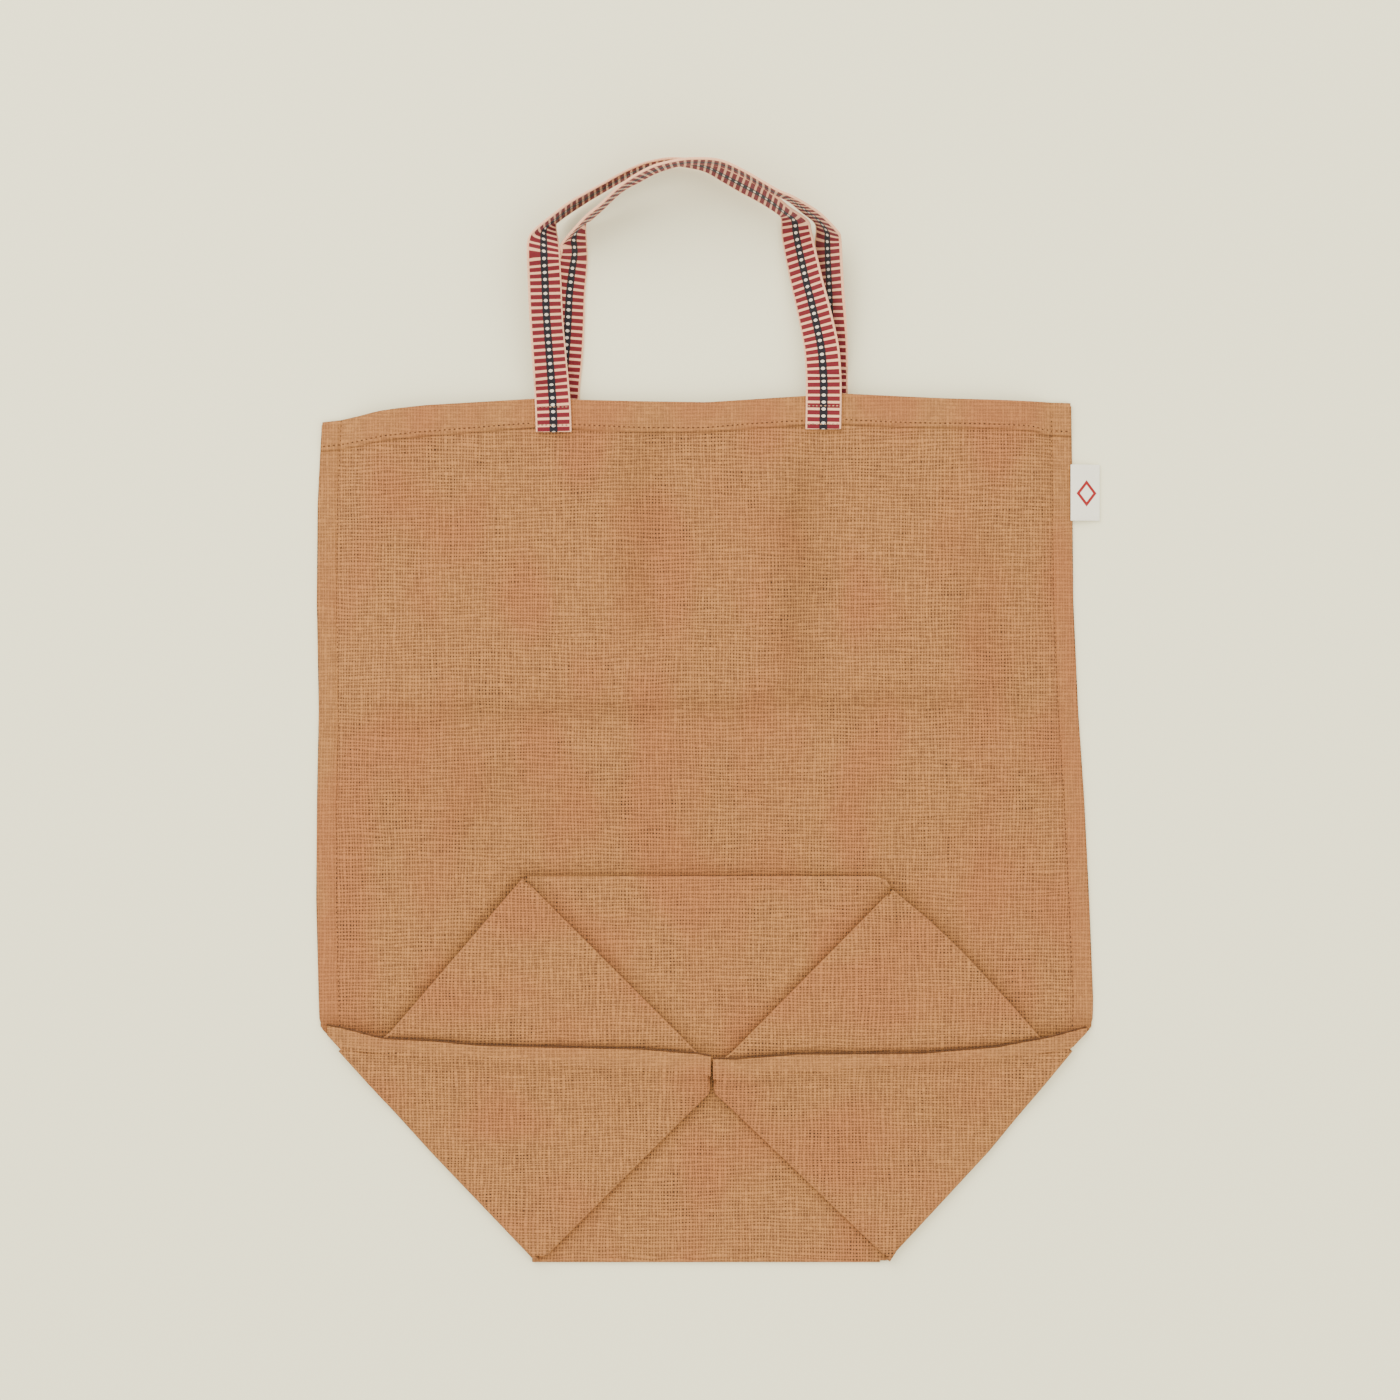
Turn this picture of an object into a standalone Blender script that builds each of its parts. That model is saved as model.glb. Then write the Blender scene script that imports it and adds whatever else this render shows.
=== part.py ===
import math

import bmesh
import bpy
from mathutils import Vector

# A jute produce bag with a boxed base, folded flat and lying on its back panel.
# Sizes are in millimetres with the middle of the base at x = 0, y = 0, the mouth towards +Y
# and the surface that the bag lies on at z = 0. Points are scaled to metres as they are placed.
MM = 0.001

# The frame of the finished part has the middle of the whole outline at its origin.
MIDDLE_X = 0.64
MIDDLE_Y = 198.98

# Cloth and folds.
CLOTH = 1.0
GAP = 0.4
PITCH = CLOTH + GAP
FOLD_OUT = 0.63
FOLD_START = 0.2
FOLD_IN = 1.3
ROOT_CLEAR = 0.45
FOLD_SKIN = 0.94
SEAM = 11.0
FIN_STACK = 0.8
HEM = 16.0
HEM_OVERLAP = 0.05
FRONT_INSET = 0.6
BACK_MOUTH_DROP = 1.5

# Heights of the layers' undersides where the bag is folded flattest.
BACK = 0.0
FRONT = PITCH
TURNED_FRONT = 2 * PITCH
BASE_HIGH = 3 * PITCH
BASE_LOW = PITCH
FIN_THICK = 2 * CLOTH
FIN_BITE = 0.1
FIN_DROP_START = 184.0
FIN_DROP_END = 206.0
ROOT_START = 4.5
ROOT_END = 195.0

# The base comes down from three layers to one below the front panel's lower fold.
STEP_TOP = -4.0
STEP_FOOT = -28.0
STEP_ROWS = [STEP_FOOT, (STEP_FOOT + STEP_TOP) / 2, STEP_TOP]
FRONT_FOLD = 2.0
EAR_FLAT = 104.0
EAR_FOOT = 195.0

# The body of the bag stands open a little above the base.
OPEN_HEIGHT = 8.0
RISE_START = 109.0
RISE_END = 178.0
RELIEF_FADE = 20.0
SEAM_RISE = 34.0

# Handles: webbing sewn to the hem of each panel.
TAPE_WIDTH = 20.0
TAPE_THICK = 1.3
TAPE_STEP = 6.0
BACK_TAPE_X = (-80.0, 68.0)
TAPE_END = 351.0
TAPE_LIFT = TAPE_THICK + 0.35
TAPE_LIFT_FLAT = TAPE_WIDTH / 2 + 0.7
TAPE_LIFT_FOOT = TAPE_WIDTH / 2 + 7.0

LABEL_THICK = 1.2
LABEL = dict(left=199.7, right=216.0, low=302.0, high=332.8, seat=2.15, tip=0.9)

# Outer edges of the side seams, from the base corners to the mouth.
sides = [
    dict(y=24.0, left=-212.9, right=211.8),
    dict(y=38.0, left=-213.4, right=212.3),
    dict(y=93.0, left=-214.8, right=210.1),
    dict(y=148.0, left=-214.4, right=207.4),
    dict(y=198.0, left=-213.4, right=204.0),
    dict(y=258.0, left=-214.5, right=201.3),
    dict(y=313.0, left=-214.0, right=200.8),
    dict(y=358.0, left=-211.8, right=200.2),
]

# Lower folds of the gussets, from the base's bottom fold up to the side corners.
lower_folds = [
    dict(y=-104.3, left=-92.5, right=98.8),
    dict(y=-98.0, left=-98.3, right=102.7),
    dict(y=-43.2, left=-151.0, right=153.8),
    dict(y=11.8, left=-201.1, right=199.4),
]

# Upper folds of the gussets, from under the seam fins up to the base's top corners.
upper_folds = [
    dict(y=2.0, left=-189.5, right=188.5),
    dict(y=9.0, left=-189.0, right=190.0),
    dict(y=19.0, left=-174.4, right=180.9),
    dict(y=36.0, left=-159.7, right=166.0),
    dict(y=64.0, left=-135.7, right=140.1),
    dict(y=82.0, left=-120.2, right=121.3),
    dict(y=98.9, left=-105.7, right=101.0),
    dict(y=105.7, left=-99.9, right=94.0),
]

# Ear edges on the base, from the bottom corners by the middle to the top corners.
ear_edges = [
    dict(y=-104.6, left=-92.9, right=99.9),
    dict(y=-101.0, left=-89.3, right=98.6),
    dict(y=-11.0, left=0.7, right=4.7),
    dict(y=3.0, left=0.5, right=5.0),
    dict(y=9.9, left=-6.1, right=14.2),
    dict(y=97.1, left=-93.2, right=100.3),
    dict(y=103.0, left=-99.0, right=101.0),
]

# Where the seam ends on each ear, near the middle of the base.
ear_tips = dict(left=dict(x=1.2, y=-1.2), right=dict(x=4.1, y=-3.0))

# Side folds of the base, hidden under the ears.
base_folds = [
    dict(y=-104.3, left=-92.5, right=98.8),
    dict(y=98.9, left=-99.7, right=101.0),
    dict(y=105.9, left=-99.9, right=94.0),
]

# Top edges of the seam fins that lie across the gussets, by distance from the bag's middle.
left_fin = [
    dict(x=-208.5, top=25.5),
    dict(x=-198.6, top=23.7),
    dict(x=-177.1, top=18.7),
    dict(x=-148.0, top=17.3),
    dict(x=-124.9, top=15.1),
    dict(x=-36.9, top=13.2),
    dict(x=-5.5, top=10.7),
    dict(x=1.9, top=9.6),
]
right_fin = [
    dict(x=3.3, top=8.2),
    dict(x=16.0, top=7.7),
    dict(x=51.2, top=10.5),
    dict(x=118.3, top=10.9),
    dict(x=158.4, top=14.1),
    dict(x=190.6, top=20.0),
    dict(x=208.5, top=24.3),
]

# The mouth's edge across the bag.
mouth_edge = [
    dict(x=-212.0, y=355.9),
    dict(x=-199.7, y=357.5),
    dict(x=-179.9, y=362.5),
    dict(x=-154.0, y=364.7),
    dict(x=-95.7, y=368.2),
    dict(x=-36.9, y=366.9),
    dict(x=0.0, y=366.3),
    dict(x=51.2, y=369.6),
    dict(x=75.7, y=371.0),
    dict(x=128.7, y=368.5),
    dict(x=200.0, y=366.5),
]

# Troughs and ridges across the front panel: the line's middle, direction, length, width, height.
front_creases = [
    dict(x=0.0, y=200.0, angle=2.0, length=205.0, width=9.0, height=-1.1),
    dict(x=0.0, y=212.0, angle=2.0, length=200.0, width=8.0, height=0.5),
    dict(x=-40.0, y=285.0, angle=88.0, length=62.0, width=13.0, height=-1.0),
    dict(x=70.0, y=280.0, angle=92.0, length=60.0, width=14.0, height=-1.0),
    dict(x=104.0, y=126.0, angle=80.0, length=16.0, width=6.0, height=-0.5),
    dict(x=-120.0, y=150.0, angle=62.0, length=34.0, width=12.0, height=-0.6),
    dict(x=150.0, y=255.0, angle=100.0, length=50.0, width=16.0, height=-0.7),
]

# Handles: middle of the webbing, height of its lower edge, and how far its outer edge is raised.
front_tape = [
    dict(x=-84.0, y=351.6, low=9.35, tilt=0.0),
    dict(x=-84.3, y=368.0, low=9.35, tilt=0.0),
    dict(x=-86.0, y=392.0, low=9.6, tilt=12.0),
    dict(x=-87.2, y=418.0, low=11.4, tilt=22.0),
    dict(x=-88.6, y=439.0, low=15.2, tilt=26.0),
    dict(x=-89.9, y=456.0, low=13.5, tilt=34.0),
    dict(x=-85.5, y=468.0, low=8.5, tilt=54.0),
    dict(x=-74.3, y=476.0, low=4.0, tilt=67.0),
    dict(x=-58.9, y=486.0, low=1.5, tilt=68.0),
    dict(x=-44.8, y=494.7, low=0.6, tilt=70.0),
    dict(x=-29.7, y=499.4, low=0.5, tilt=76.0),
    dict(x=-14.9, y=501.0, low=0.5, tilt=80.0),
    dict(x=-1.0, y=496.4, low=0.5, tilt=76.0),
    dict(x=14.1, y=490.6, low=0.5, tilt=68.0),
    dict(x=27.0, y=482.5, low=0.8, tilt=62.0),
    dict(x=40.5, y=473.0, low=1.2, tilt=56.0),
    dict(x=49.0, y=457.5, low=2.2, tilt=40.0),
    dict(x=53.1, y=439.0, low=4.5, tilt=32.0),
    dict(x=60.8, y=418.0, low=7.0, tilt=24.0),
    dict(x=64.1, y=391.6, low=9.0, tilt=10.0),
    dict(x=64.5, y=371.5, low=9.35, tilt=0.0),
    dict(x=63.9, y=352.2, low=9.35, tilt=0.0),
]
back_tape = [
    dict(x=-80.0, y=351.4, low=0.0, tilt=0.0),
    dict(x=-80.0, y=369.0, low=0.0, tilt=0.0),
    dict(x=-77.5, y=396.0, low=0.3, tilt=2.0),
    dict(x=-75.6, y=418.0, low=0.4, tilt=8.0),
    dict(x=-72.6, y=436.0, low=0.6, tilt=30.0),
    dict(x=-70.8, y=449.0, low=1.2, tilt=50.0),
    dict(x=-70.5, y=462.0, low=4.5, tilt=74.0),
    dict(x=-61.0, y=474.0, low=9.0, tilt=86.0),
    dict(x=-46.5, y=486.0, low=15.0, tilt=86.0),
    dict(x=-31.9, y=494.4, low=20.2, tilt=87.0),
    dict(x=-14.0, y=500.9, low=21.8, tilt=90.0),
    dict(x=2.0, y=500.6, low=21.6, tilt=92.0),
    dict(x=16.0, y=495.2, low=20.6, tilt=94.0),
    dict(x=31.0, y=486.8, low=19.0, tilt=98.0),
    dict(x=44.6, y=478.8, low=16.0, tilt=106.0),
    dict(x=56.5, y=472.0, low=12.0, tilt=110.0),
    dict(x=66.5, y=466.0, low=8.0, tilt=102.0),
    dict(x=71.0, y=456.0, low=4.0, tilt=70.0),
    dict(x=68.6, y=444.0, low=1.5, tilt=46.0),
    dict(x=67.8, y=426.0, low=0.5, tilt=28.0),
    dict(x=68.0, y=400.0, low=0.3, tilt=6.0),
    dict(x=68.0, y=371.0, low=0.0, tilt=0.0),
    dict(x=68.0, y=351.4, low=0.0, tilt=0.0),
]


def blend(low, high, value):
    return low + (high - low) * value


def ramp(value, start, end):
    return min(max((value - start) / (end - start), 0.0), 1.0)


def ease(value, start, end):
    part = ramp(value, start, end)
    return part * part * (3.0 - 2.0 * part)


def look_up(table, key, column, value):
    if value <= table[0][key]:
        return table[0][column]
    for lower, upper in zip(table, table[1:]):
        if value <= upper[key]:
            return blend(lower[column], upper[column], ramp(value, lower[key], upper[key]))
    return table[-1][column]


def step_share(y):
    return ramp(y, STEP_FOOT, STEP_TOP)


def base_height(x, y):
    return blend(BASE_LOW, BASE_HIGH, step_share(y))


def ear_height(x, y):
    return base_height(x, y) + PITCH


def gusset_height(x, y):
    return base_height(x, y) + 2 * PITCH * (1.0 - ramp(abs(x), EAR_FLAT, EAR_FOOT))


def fin_height(x, y):
    # The fin lies on the gusset and comes down on the side seam's fin at the bag's side.
    over_gusset = gusset_height(x, y) + PITCH
    return blend(over_gusset, FIN_STACK + CLOTH - FIN_BITE, ease(abs(x), FIN_DROP_START, FIN_DROP_END))


def crease(row, x, y):
    along = Vector((math.cos(math.radians(row["angle"])), math.sin(math.radians(row["angle"]))))
    reach = Vector((x - row["x"], y - row["y"]))
    run = reach.dot(along)
    off = reach.length_squared - run * run
    fade = 1.0 - ease(abs(run), 0.6 * row["length"], row["length"])
    return row["height"] * fade * math.exp(-off / (row["width"] ** 2))


def front_height(x, y):
    opened = blend(FRONT, OPEN_HEIGHT, ease(y, RISE_START, RISE_END))
    relief = sum(crease(row, x, y) for row in front_creases)
    opened += relief * ease(y, RISE_START, RISE_START + RELIEF_FADE)
    to_left = x - look_up(sides, "y", "left", y) - SEAM
    to_right = look_up(sides, "y", "right", y) - SEAM - x
    from_seam = ramp(min(to_left, to_right), 0.0, SEAM_RISE)
    return blend(FIN_STACK, opened, 1.0 - (1.0 - from_seam) ** 2)


def back_height(x, y):
    # The back panel lies flat but for two low steps over the ends of the back handle.
    beside = min(abs(x - middle) for middle in BACK_TAPE_X)
    over_tape = 1.0 - ramp(beside, TAPE_LIFT_FLAT, TAPE_LIFT_FOOT)
    return TAPE_LIFT * over_tape * ramp(y, TAPE_END - HEM / 2 - 1.0, TAPE_END - 1.0)


def body_edge(side, y):
    corner_y = lower_folds[-1]["y"]
    if y <= corner_y:
        return look_up(lower_folds, "y", side, y)
    if y >= sides[0]["y"]:
        return look_up(sides, "y", side, y)
    corner = look_up(lower_folds, "y", side, y)
    return blend(corner, sides[0][side], ramp(y, corner_y, sides[0]["y"]))


def body_point(share, y, inset=0.0):
    x = blend(body_edge("left", y) + inset, body_edge("right", y) - inset, share)
    straight_mouth = sides[-1]["y"]
    stretch = look_up(mouth_edge, "x", "y", x) - straight_mouth
    return x, y + stretch * ease(y, straight_mouth - 110.0, straight_mouth)


def make_sheet(name, columns, rows, place, thickness, offset=1.0):
    mesh = bpy.data.meshes.new(name)
    grid = bmesh.new()
    across = len(columns) - 1
    along = len(rows) - 1
    bmesh.ops.create_grid(grid, x_segments=across, y_segments=along, size=0.5)
    for vert in grid.verts:
        column = columns[round((vert.co.x + 0.5) * across)]
        row = rows[round((vert.co.y + 0.5) * along)]
        vert.co = Vector(place(column, row)) * MM
    grid.to_mesh(mesh)
    grid.free()
    sheet = bpy.data.objects.new(name, mesh)
    thicken = sheet.modifiers.new("Thickness", "SOLIDIFY")
    thicken.thickness = thickness * MM
    thicken.offset = offset
    return sheet


def add_layer(name, columns, rows, place, thickness=CLOTH, offset=1.0):
    layer = make_sheet(name, columns, rows, place, thickness, offset)
    layers.objects.link(layer)
    layer.hide_render = True
    layer.display_type = "WIRE"
    layer.parent = frame
    return layer


def add_fold(name, path, low, high, outward):
    # A fold joins the layer below it to the layer above it with a rounded edge. The path is a
    # list of points, low and high give the heights of the two layers' middles at a point.
    section = [
        dict(out=-FOLD_IN, rise=-1.0),
        dict(out=FOLD_START, rise=-1.0),
        dict(out=0.8 * FOLD_OUT, rise=-0.7),
        dict(out=FOLD_OUT, rise=0.0),
        dict(out=0.8 * FOLD_OUT, rise=0.7),
        dict(out=FOLD_START, rise=1.0),
        dict(out=-FOLD_IN, rise=1.0),
    ]

    def place(station, index):
        here = Vector(path[index])
        before = Vector(path[max(index - 1, 0)])
        after = Vector(path[min(index + 1, len(path) - 1)])
        along = (after - before).normalized()
        side = Vector((along.y, -along.x)) * outward
        spot = here + side * station["out"]
        bottom = low(here.x, here.y)
        top = high(here.x, here.y)
        return spot.x, spot.y, blend(bottom, top, (station["rise"] + 1.0) / 2.0)

    add_layer(name, section, range(len(path)), place, FOLD_SKIN, 0.0)


def middle_of(height):
    return lambda x, y: height(x, y) + CLOTH / 2.0


def level(height):
    return lambda x, y: height


def even(count):
    return [index / count for index in range(count + 1)]


def heights_of(table):
    return [row["y"] for row in table]


def points_on(table, side, heights):
    return [(look_up(table, "y", side, y), y) for y in heights]


def column_share(x):
    left = look_up(sides, "y", "left", TAPE_END)
    right = look_up(sides, "y", "right", TAPE_END)
    return (x - left) / (right - left)


def panel_columns():
    near_edge = [0.0, 0.012, 0.026, 0.045, 0.07, 0.1, 0.16, 0.22]
    middle = [0.42, 0.5, 0.58]
    over_tape = []
    for tape_x in BACK_TAPE_X:
        for reach in (TAPE_LIFT_FLAT, TAPE_LIFT_FOOT):
            over_tape += [column_share(tape_x - reach), column_share(tape_x + reach)]
    return sorted(near_edge + middle + over_tape + [1.0 - share for share in near_edge])


def facet(name, columns, rows, left, right, height, bound=None):
    # Each row of a facet runs from its left edge to its right edge, both given by height y.
    def place(share, y):
        x = blend(left(y), right(y), share)
        if bound:
            y = bound(x, y)
        return x, y, height(x, y)

    add_layer(name, columns, rows, place)


def edge_of(table, side):
    return lambda y: look_up(table, "y", side, y)


def build_panels():
    columns = panel_columns()
    mouth = sides[-1]["y"]
    hem_rows = [mouth - HEM, mouth - HEM / 2, mouth]
    base_rows = heights_of(lower_folds)
    side_rows = [24.0, 93.0, 198.0, 258.0, 313.0]
    bend_rows = [60.0, 93.0, 109.0, 122.0, 134.0, 146.0, 160.0, 178.0, 189.0, 197.0,
                 204.0, 212.0, 222.0, 240.0, 262.0, 288.0, 313.0, 332.0]

    def back_place(share, y):
        x, y = body_point(share, y)
        y -= BACK_MOUTH_DROP * ramp(y, mouth - HEM, mouth - HEM / 2)
        return x, y, back_height(x, y)

    def front_place(share, y):
        x, y = body_point(share, y, FRONT_INSET)
        return x, y, front_height(x, y)

    def front_hem(share, y):
        x, y, z = front_place(share, y)
        return x, y, z - CLOTH + HEM_OVERLAP

    def back_hem(share, y):
        x, y, z = back_place(share, y)
        return x, y, z + CLOTH - HEM_OVERLAP

    front_rows = [FRONT_FOLD, base_rows[-1], side_rows[0]] + bend_rows + hem_rows
    between_seams = [share for share in columns if 0.045 <= share <= 0.955]
    add_layer("front_panel", columns, front_rows, front_place)
    add_layer("front_hem", between_seams, hem_rows, front_hem)
    add_layer("back_hem", between_seams, hem_rows, back_hem)
    return make_sheet("bag_body", columns, base_rows + side_rows + hem_rows, back_place, CLOTH)


def build_base():
    bottom = base_folds[0]["y"]
    top = base_folds[-1]["y"]
    turned_rows = heights_of(upper_folds[:-1]) + [top]
    base_rows = [bottom, -66.0] + STEP_ROWS + [30.0, 66.0, 98.9, top]
    facet("turned_front", even(8), turned_rows, edge_of(upper_folds, "left"),
          edge_of(upper_folds, "right"), level(TURNED_FRONT))
    facet("base", even(6), base_rows, edge_of(base_folds, "left"), edge_of(base_folds, "right"), base_height)

    front_path = [(x, FRONT_FOLD) for x in (-187.0, -60.0, 60.0, 186.0)]
    top_path = [(-98.6, top), (-40.0, top), (30.0, top), (92.0, top), (97.4, 104.3), (100.4, 100.0)]
    bottom_path = [(x, bottom) for x in (-96.0, -40.0, 30.0, 92.0)]
    add_fold("front_fold", front_path, middle_of(level(FRONT)), middle_of(level(TURNED_FRONT)), 1.0)
    add_fold("top_fold", top_path, middle_of(level(TURNED_FRONT)), middle_of(base_height), -1.0)
    add_fold("bottom_fold", bottom_path, middle_of(level(BACK)), middle_of(base_height), 1.0)


def fold_root(side, x):
    # The seam runs across the gusset from the bag's side to the tip of the ear.
    corner = lower_folds[-1]
    tip = ear_tips[side]
    return blend(tip["y"], corner["y"], ramp(x, tip["x"], corner[side]))


def build_gusset(side, outward):
    def under_root(x, y):
        return min(y, fold_root(side, x) - ROOT_CLEAR)

    def over_root(x, y):
        return max(y, fold_root(side, x) + ROOT_CLEAR)

    ear_edge = edge_of(ear_edges, side)
    ear_rows = [-101.0, -66.0] + STEP_ROWS + [3.0, 9.9, 40.0, 70.0, 97.1]
    lower_rows = [-101.0, -66.0] + STEP_ROWS + [11.8]
    upper_rows = [2.0, 19.0, 36.0, 64.0, 82.0, 97.1]
    facets = [
        dict(name="ear", columns=6, rows=ear_rows, outer=base_folds, height=ear_height, bound=None),
        dict(name="lower_gusset", columns=10, rows=lower_rows, outer=lower_folds,
             height=gusset_height, bound=under_root),
        dict(name="upper_gusset", columns=10, rows=upper_rows, outer=upper_folds,
             height=gusset_height, bound=over_root),
    ]
    for row in facets:
        outer_edge = edge_of(row["outer"], side)
        left, right = (outer_edge, ear_edge) if side == "left" else (ear_edge, outer_edge)
        facet(side + "_" + row["name"], even(row["columns"]), row["rows"], left, right,
              row["height"], row["bound"])

    lower_path = points_on(lower_folds, side, [-103.7, -98.0, -70.0, -43.2, STEP_FOOT, STEP_TOP, 11.8])
    upper_path = points_on(upper_folds, side, heights_of(upper_folds)[1:-1])
    side_path = points_on(base_folds, side, [-100.0] + STEP_ROWS + [97.0])
    ear_heights = [-100.3, -60.0] + STEP_ROWS[:2] + [-11.0, STEP_TOP, 3.0, 9.9, 50.0, 96.4]
    ear_path = points_on(ear_edges, side, ear_heights)
    add_fold(side + "_lower_fold", lower_path, middle_of(level(BACK)),
             middle_of(gusset_height), -outward)
    add_fold(side + "_upper_fold", upper_path, middle_of(level(TURNED_FRONT)),
             middle_of(gusset_height), outward)
    add_fold(side + "_side_fold", side_path, middle_of(base_height), middle_of(ear_height), outward)
    add_fold(side + "_ear_fold", ear_path, middle_of(ear_height), middle_of(gusset_height), -outward)


def fin_foot(side, x):
    # At the bag's side the fin's lower edge follows the slanted corner up to the side seam.
    corner = lower_folds[-1]
    seam_end = sides[0]
    on_corner = ramp(abs(x), abs(corner[side]), abs(seam_end[side]))
    return blend(fold_root(side, x), seam_end["y"] + 0.3, on_corner)


def build_fin(side, tops):
    stops = [row["x"] for row in tops]

    def place(x, share):
        y = blend(fin_foot(side, x), look_up(tops, "x", "top", x), share)
        return x, y, fin_height(x, y)

    def fin_top(x, y):
        return fin_height(x, y) + FIN_THICK - CLOTH

    add_layer(side + "_fin", stops, even(2), place, FIN_THICK)
    on_gusset = [x for x in stops if ROOT_START < abs(x) < ROOT_END]
    path = [(x, fold_root(side, x)) for x in sorted(on_gusset + [ear_tips[side]["x"]])]
    add_fold(side + "_fin_root", path, middle_of(gusset_height), middle_of(fin_top), 1.0)


def tape_stations(table):
    # Points at even steps along a smooth curve through the rows of a handle's table.
    points = []
    for row in table:
        points.append(Vector((row["x"], row["y"], row["low"], row["tilt"])))
    stations = []
    for index in range(len(points) - 1):
        before = points[max(index - 1, 0)]
        start = points[index]
        end = points[index + 1]
        after = points[min(index + 2, len(points) - 1)]
        count = max(1, round((end - start).xyz.length / TAPE_STEP))
        for part in range(count):
            t = part / count
            leave = (end - before) / 2
            arrive = (after - start) / 2
            stations.append(start * (2 * t**3 - 3 * t**2 + 1) + leave * (t**3 - 2 * t**2 + t)
                            + end * (3 * t**2 - 2 * t**3) + arrive * (t**3 - t**2))
    stations.append(points[-1])
    for station in stations:
        station.w = max(station.w, 0.0)
        station.z = max(station.z, 0.0) + TAPE_THICK / 2
        station.z += TAPE_WIDTH / 2 * math.sin(math.radians(station.w))
    return stations


def build_handle(name, table):
    stations = tape_stations(table)

    def place(across, index):
        here = stations[index]
        before = stations[max(index - 1, 0)]
        after = stations[min(index + 1, len(stations) - 1)]
        along = (after - before).xyz.normalized()
        outward = Vector((-along.y, along.x, 0.0)).normalized()
        tilt = math.radians(here.w)
        width = outward * math.cos(tilt) + Vector((0.0, 0.0, math.sin(tilt)))
        width = (width - along * width.dot(along)).normalized()
        return here.xyz + width * (across * TAPE_WIDTH / 2)

    return make_sheet(name, (-1.0, 0.0, 1.0), range(len(stations)), place, TAPE_THICK, 0.0)


def build_label():
    def place(along, up):
        x = blend(LABEL["left"], LABEL["right"], along)
        y = blend(LABEL["low"], LABEL["high"], up)
        return x, y, blend(LABEL["seat"], LABEL["tip"], ease(along, 0.2, 1.0))

    return make_sheet("side_label", even(4), even(2), place, LABEL_THICK)


def give_material(part, name, colour, roughness):
    material = bpy.data.materials.new(name)
    material.use_nodes = True
    shader = material.node_tree.nodes["Principled BSDF"]
    shader.inputs["Base Color"].default_value = (*colour, 1.0)
    shader.inputs["Roughness"].default_value = roughness
    shader.inputs["Metallic"].default_value = 0.0
    part.data.materials.append(material)


for old in list(bpy.data.objects):
    bpy.data.objects.remove(old, do_unlink=True)

bag = bpy.data.collections.new("produce_bag")
layers = bpy.data.collections.new("folded_layers")
bpy.context.scene.collection.children.link(bag)
bpy.context.scene.collection.children.link(layers)

frame = bpy.data.objects.new("bag_frame", None)
frame.location = (-MIDDLE_X * MM, -MIDDLE_Y * MM, 0.0)
bag.objects.link(frame)

body = build_panels()
build_base()
build_gusset("left", -1.0)
build_gusset("right", 1.0)
build_fin("left", left_fin)
build_fin("right", right_fin)
join = body.modifiers.new("Join the layers", "BOOLEAN")
join.operation = "UNION"
join.operand_type = "COLLECTION"
join.collection = layers
join.solver = "EXACT"

parts = [
    dict(part=body, material="jute_cloth", colour=(0.50, 0.25, 0.11), roughness=0.95),
    dict(part=build_handle("handle_front", front_tape), material="front_webbing",
         colour=(0.55, 0.17, 0.14), roughness=0.9),
    dict(part=build_handle("handle_back", back_tape), material="back_webbing",
         colour=(0.55, 0.17, 0.14), roughness=0.9),
    dict(part=build_label(), material="label_tape", colour=(0.75, 0.73, 0.68), roughness=0.85),
]
for row in parts:
    bag.objects.link(row["part"])
    row["part"].parent = frame
    give_material(row["part"], row["material"], row["colour"], row["roughness"])
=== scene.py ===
import math

import bmesh
import bpy
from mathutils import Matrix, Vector, noise


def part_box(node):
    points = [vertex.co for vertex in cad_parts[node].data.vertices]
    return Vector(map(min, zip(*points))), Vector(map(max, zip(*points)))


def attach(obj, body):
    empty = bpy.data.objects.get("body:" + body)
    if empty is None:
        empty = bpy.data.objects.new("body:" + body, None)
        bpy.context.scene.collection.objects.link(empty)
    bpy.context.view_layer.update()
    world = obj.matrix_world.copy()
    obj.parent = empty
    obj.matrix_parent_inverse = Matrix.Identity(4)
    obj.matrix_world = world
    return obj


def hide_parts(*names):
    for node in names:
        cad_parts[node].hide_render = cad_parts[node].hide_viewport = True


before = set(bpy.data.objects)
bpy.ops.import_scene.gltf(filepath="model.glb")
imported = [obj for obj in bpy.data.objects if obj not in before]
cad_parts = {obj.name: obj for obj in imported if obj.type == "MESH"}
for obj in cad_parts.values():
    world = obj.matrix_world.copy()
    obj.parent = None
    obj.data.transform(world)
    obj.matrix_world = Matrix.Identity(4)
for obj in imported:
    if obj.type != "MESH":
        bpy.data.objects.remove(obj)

# Jute produce bag folded flat on a pale table, seen from straight above.
# Lengths are in millimetres with the middle of the base at x = 0, y = 0, and become metres
# in the frame of the part as the points are placed.
mm = 0.001
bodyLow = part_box("bag_body")[0]
bodyCorner = dict(x=-214.8, y=-105.4)
shift = Vector((bodyLow.x - bodyCorner["x"] * mm, bodyLow.y - bodyCorner["y"] * mm, 0.0))
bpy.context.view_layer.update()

cloth = 1.0  # thickness of the cloth
pitch = 1.4  # from one layer of cloth to the next
cell = 3.6  # spacing of the points on the large panels
foldOut, foldIn, foldSkin = 0.63, 1.3, 0.94  # reach of a rounded fold out and in, and its skin
foldCore, foldTuck = 0.2, -0.6  # how far out its bend starts, and how far in its end is drawn
seam, hem = 11.0, 16.0  # widths of the side seams and of the hem
mouthRow, hemStart = 358.0, 342.0  # rows of the panels at the mouth and where the turned hem starts
stretchStart = 248.0  # from here up the rows bend to the line of the mouth
frontInset = 0.6  # the front panel is this much narrower than the back at each side
backMouthDrop = 1.5  # the back ends this much short of the front at the mouth
finStack = 0.8  # height of the front panel where it runs into a seam
frontFold = 2.0  # row of the fold at the lower end of the front panel
baseLow, turnedFront, baseHigh = pitch, 2 * pitch, 3 * pitch  # heights of the layers under the base
stepTop, stepFoot = -4.0, -28.0  # rows between which the base comes down
earFlat, earFoot = 104.0, 195.0  # distances from the middle between which an ear thins out
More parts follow.
